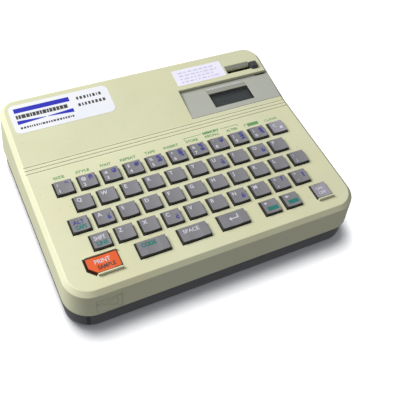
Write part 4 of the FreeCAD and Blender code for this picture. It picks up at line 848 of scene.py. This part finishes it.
def outward(angle, thickness):
    """Push points away from the corner's axis by their thickness, in metres."""
    return np.column_stack([-np.sin(angle), -np.cos(angle), angle * 0.0]) * thickness[:, None] * MM


def tray_slot_shade():
    """A black strip of painted shade for an upright slot in the tray's rounded front left corner.

    A mark's x is the angle round the corner in radians and its y the height over the tray's foot;
    the corner's radius shrinks downwards by the tangent of the draft.
    """
    radius = TRAY_CORNER

    def place(points):
        angle, height = points[:, 0], points[:, 1] + TRAY_LOW.z
        reach = radius - (TRAY_TOP - height) * math.tan(math.radians(TRAY_DRAFT)) + 0.03
        return np.column_stack([TRAY_LOW.x + radius - reach * np.sin(angle),
                                TRAY_LOW.y + radius - reach * np.cos(angle),
                                height]) * MM + outward(angle, points[:, 2])

    # Painted shade: a black strip where the slot's shade falls.
    build("tray_slot_shade", "casing", [ribbon(0.33, 0.6, 0.12, 12.4, "black_ink_and_shade", 4)], place)


# --- floor, light and camera -------------------------------------------------------------------

def floor():
    """A broad pale sheet with a barely visible tooth, which throws no light back up."""
    finish = Finish("floor_white", (0.93, 0.93, 0.93), 0.9)
    finish.tint(finish.noise(120.0, 3.0), (0.90, 0.90, 0.90), 0.4)
    finish.bump(finish.noise(2.0, 3.0), 0.02)
    half = 3.0
    mesh = bpy.data.meshes.new("floor")
    mesh.from_pydata([(-half, -half, 0.0), (half, -half, 0.0), (half, half, 0.0), (-half, half, 0.0)],
                     [], [(0, 1, 2, 3)])
    mesh.materials.append(finish.material)
    piece = bpy.data.objects.new("floor", mesh)
    bpy.context.scene.collection.objects.link(piece)
    piece.visible_diffuse = False
    piece.visible_glossy = False
    return piece


def soft_box(name, toward, distance, size, power):
    """A square lamp that stands `distance` away along a direction and faces the object."""
    lamp = bpy.data.lights.new(name, "AREA")
    lamp.shape = "SQUARE"
    lamp.size = size
    lamp.energy = power
    holder = bpy.data.objects.new(name, lamp)
    bpy.context.scene.collection.objects.link(holder)
    direction = np.array(toward) / np.linalg.norm(toward)
    holder.location = direction * distance
    yaw = math.atan2(direction[1], direction[0])
    holder.rotation_euler = (0.0, math.acos(direction[2]), yaw)
    return holder


def light_floor(lamp, ground, state):
    """Say whether a lamp lights the floor only (INCLUDE) or everything but it (EXCLUDE)."""
    reach = bpy.data.collections.new(lamp.name + "_reach")
    reach.objects.link(ground)
    reach.collection_objects[0].light_linking.link_state = state
    lamp.light_linking.receiver_collection = reach


def studio(ground):
    """Even pale surroundings, a key lamp high at the left, and an overhead lamp for the floor."""
    world = bpy.data.worlds.new("studio")
    world.use_nodes = True
    background = world.node_tree.nodes["Background"]
    background.inputs["Color"].default_value = (0.95, 0.97, 1.05, 1.0)
    background.inputs["Strength"].default_value = 0.32
    scene = bpy.context.scene
    scene.world = world
    scene.view_settings.view_transform = "Standard"
    key = soft_box("key_light", (-0.60, 0.38, 0.72), 1.5, 0.8, 28.6)
    light_floor(key, ground, "EXCLUDE")
    overhead = soft_box("overhead_light", (-0.08, 0.26, 0.96), 1.5, 0.7, 34.0)
    light_floor(overhead, ground, "INCLUDE")


def camera():
    """The camera in front of the object's left corner, looking down at the keys."""
    lens = bpy.data.cameras.new("camera")
    lens.lens = 55.75
    lens.sensor_width = 36.0
    holder = bpy.data.objects.new("camera", lens)
    bpy.context.scene.collection.objects.link(holder)
    holder.location = (-0.15011, -0.26667, 0.37755)
    holder.rotation_euler = [math.radians(angle) for angle in (38.2565, -6.1396, -25.8203)]
    bpy.context.scene.camera = holder


dress_cad_nodes()
key_legends()
deck_captions()
owner_label()
paper_label()
underside_label()
print_surround()
display_ribs()
display_mask()
panel_notch_shade()
outlet_ribs()
front_emblem()
tray_slot_shade()
studio(floor())
camera()
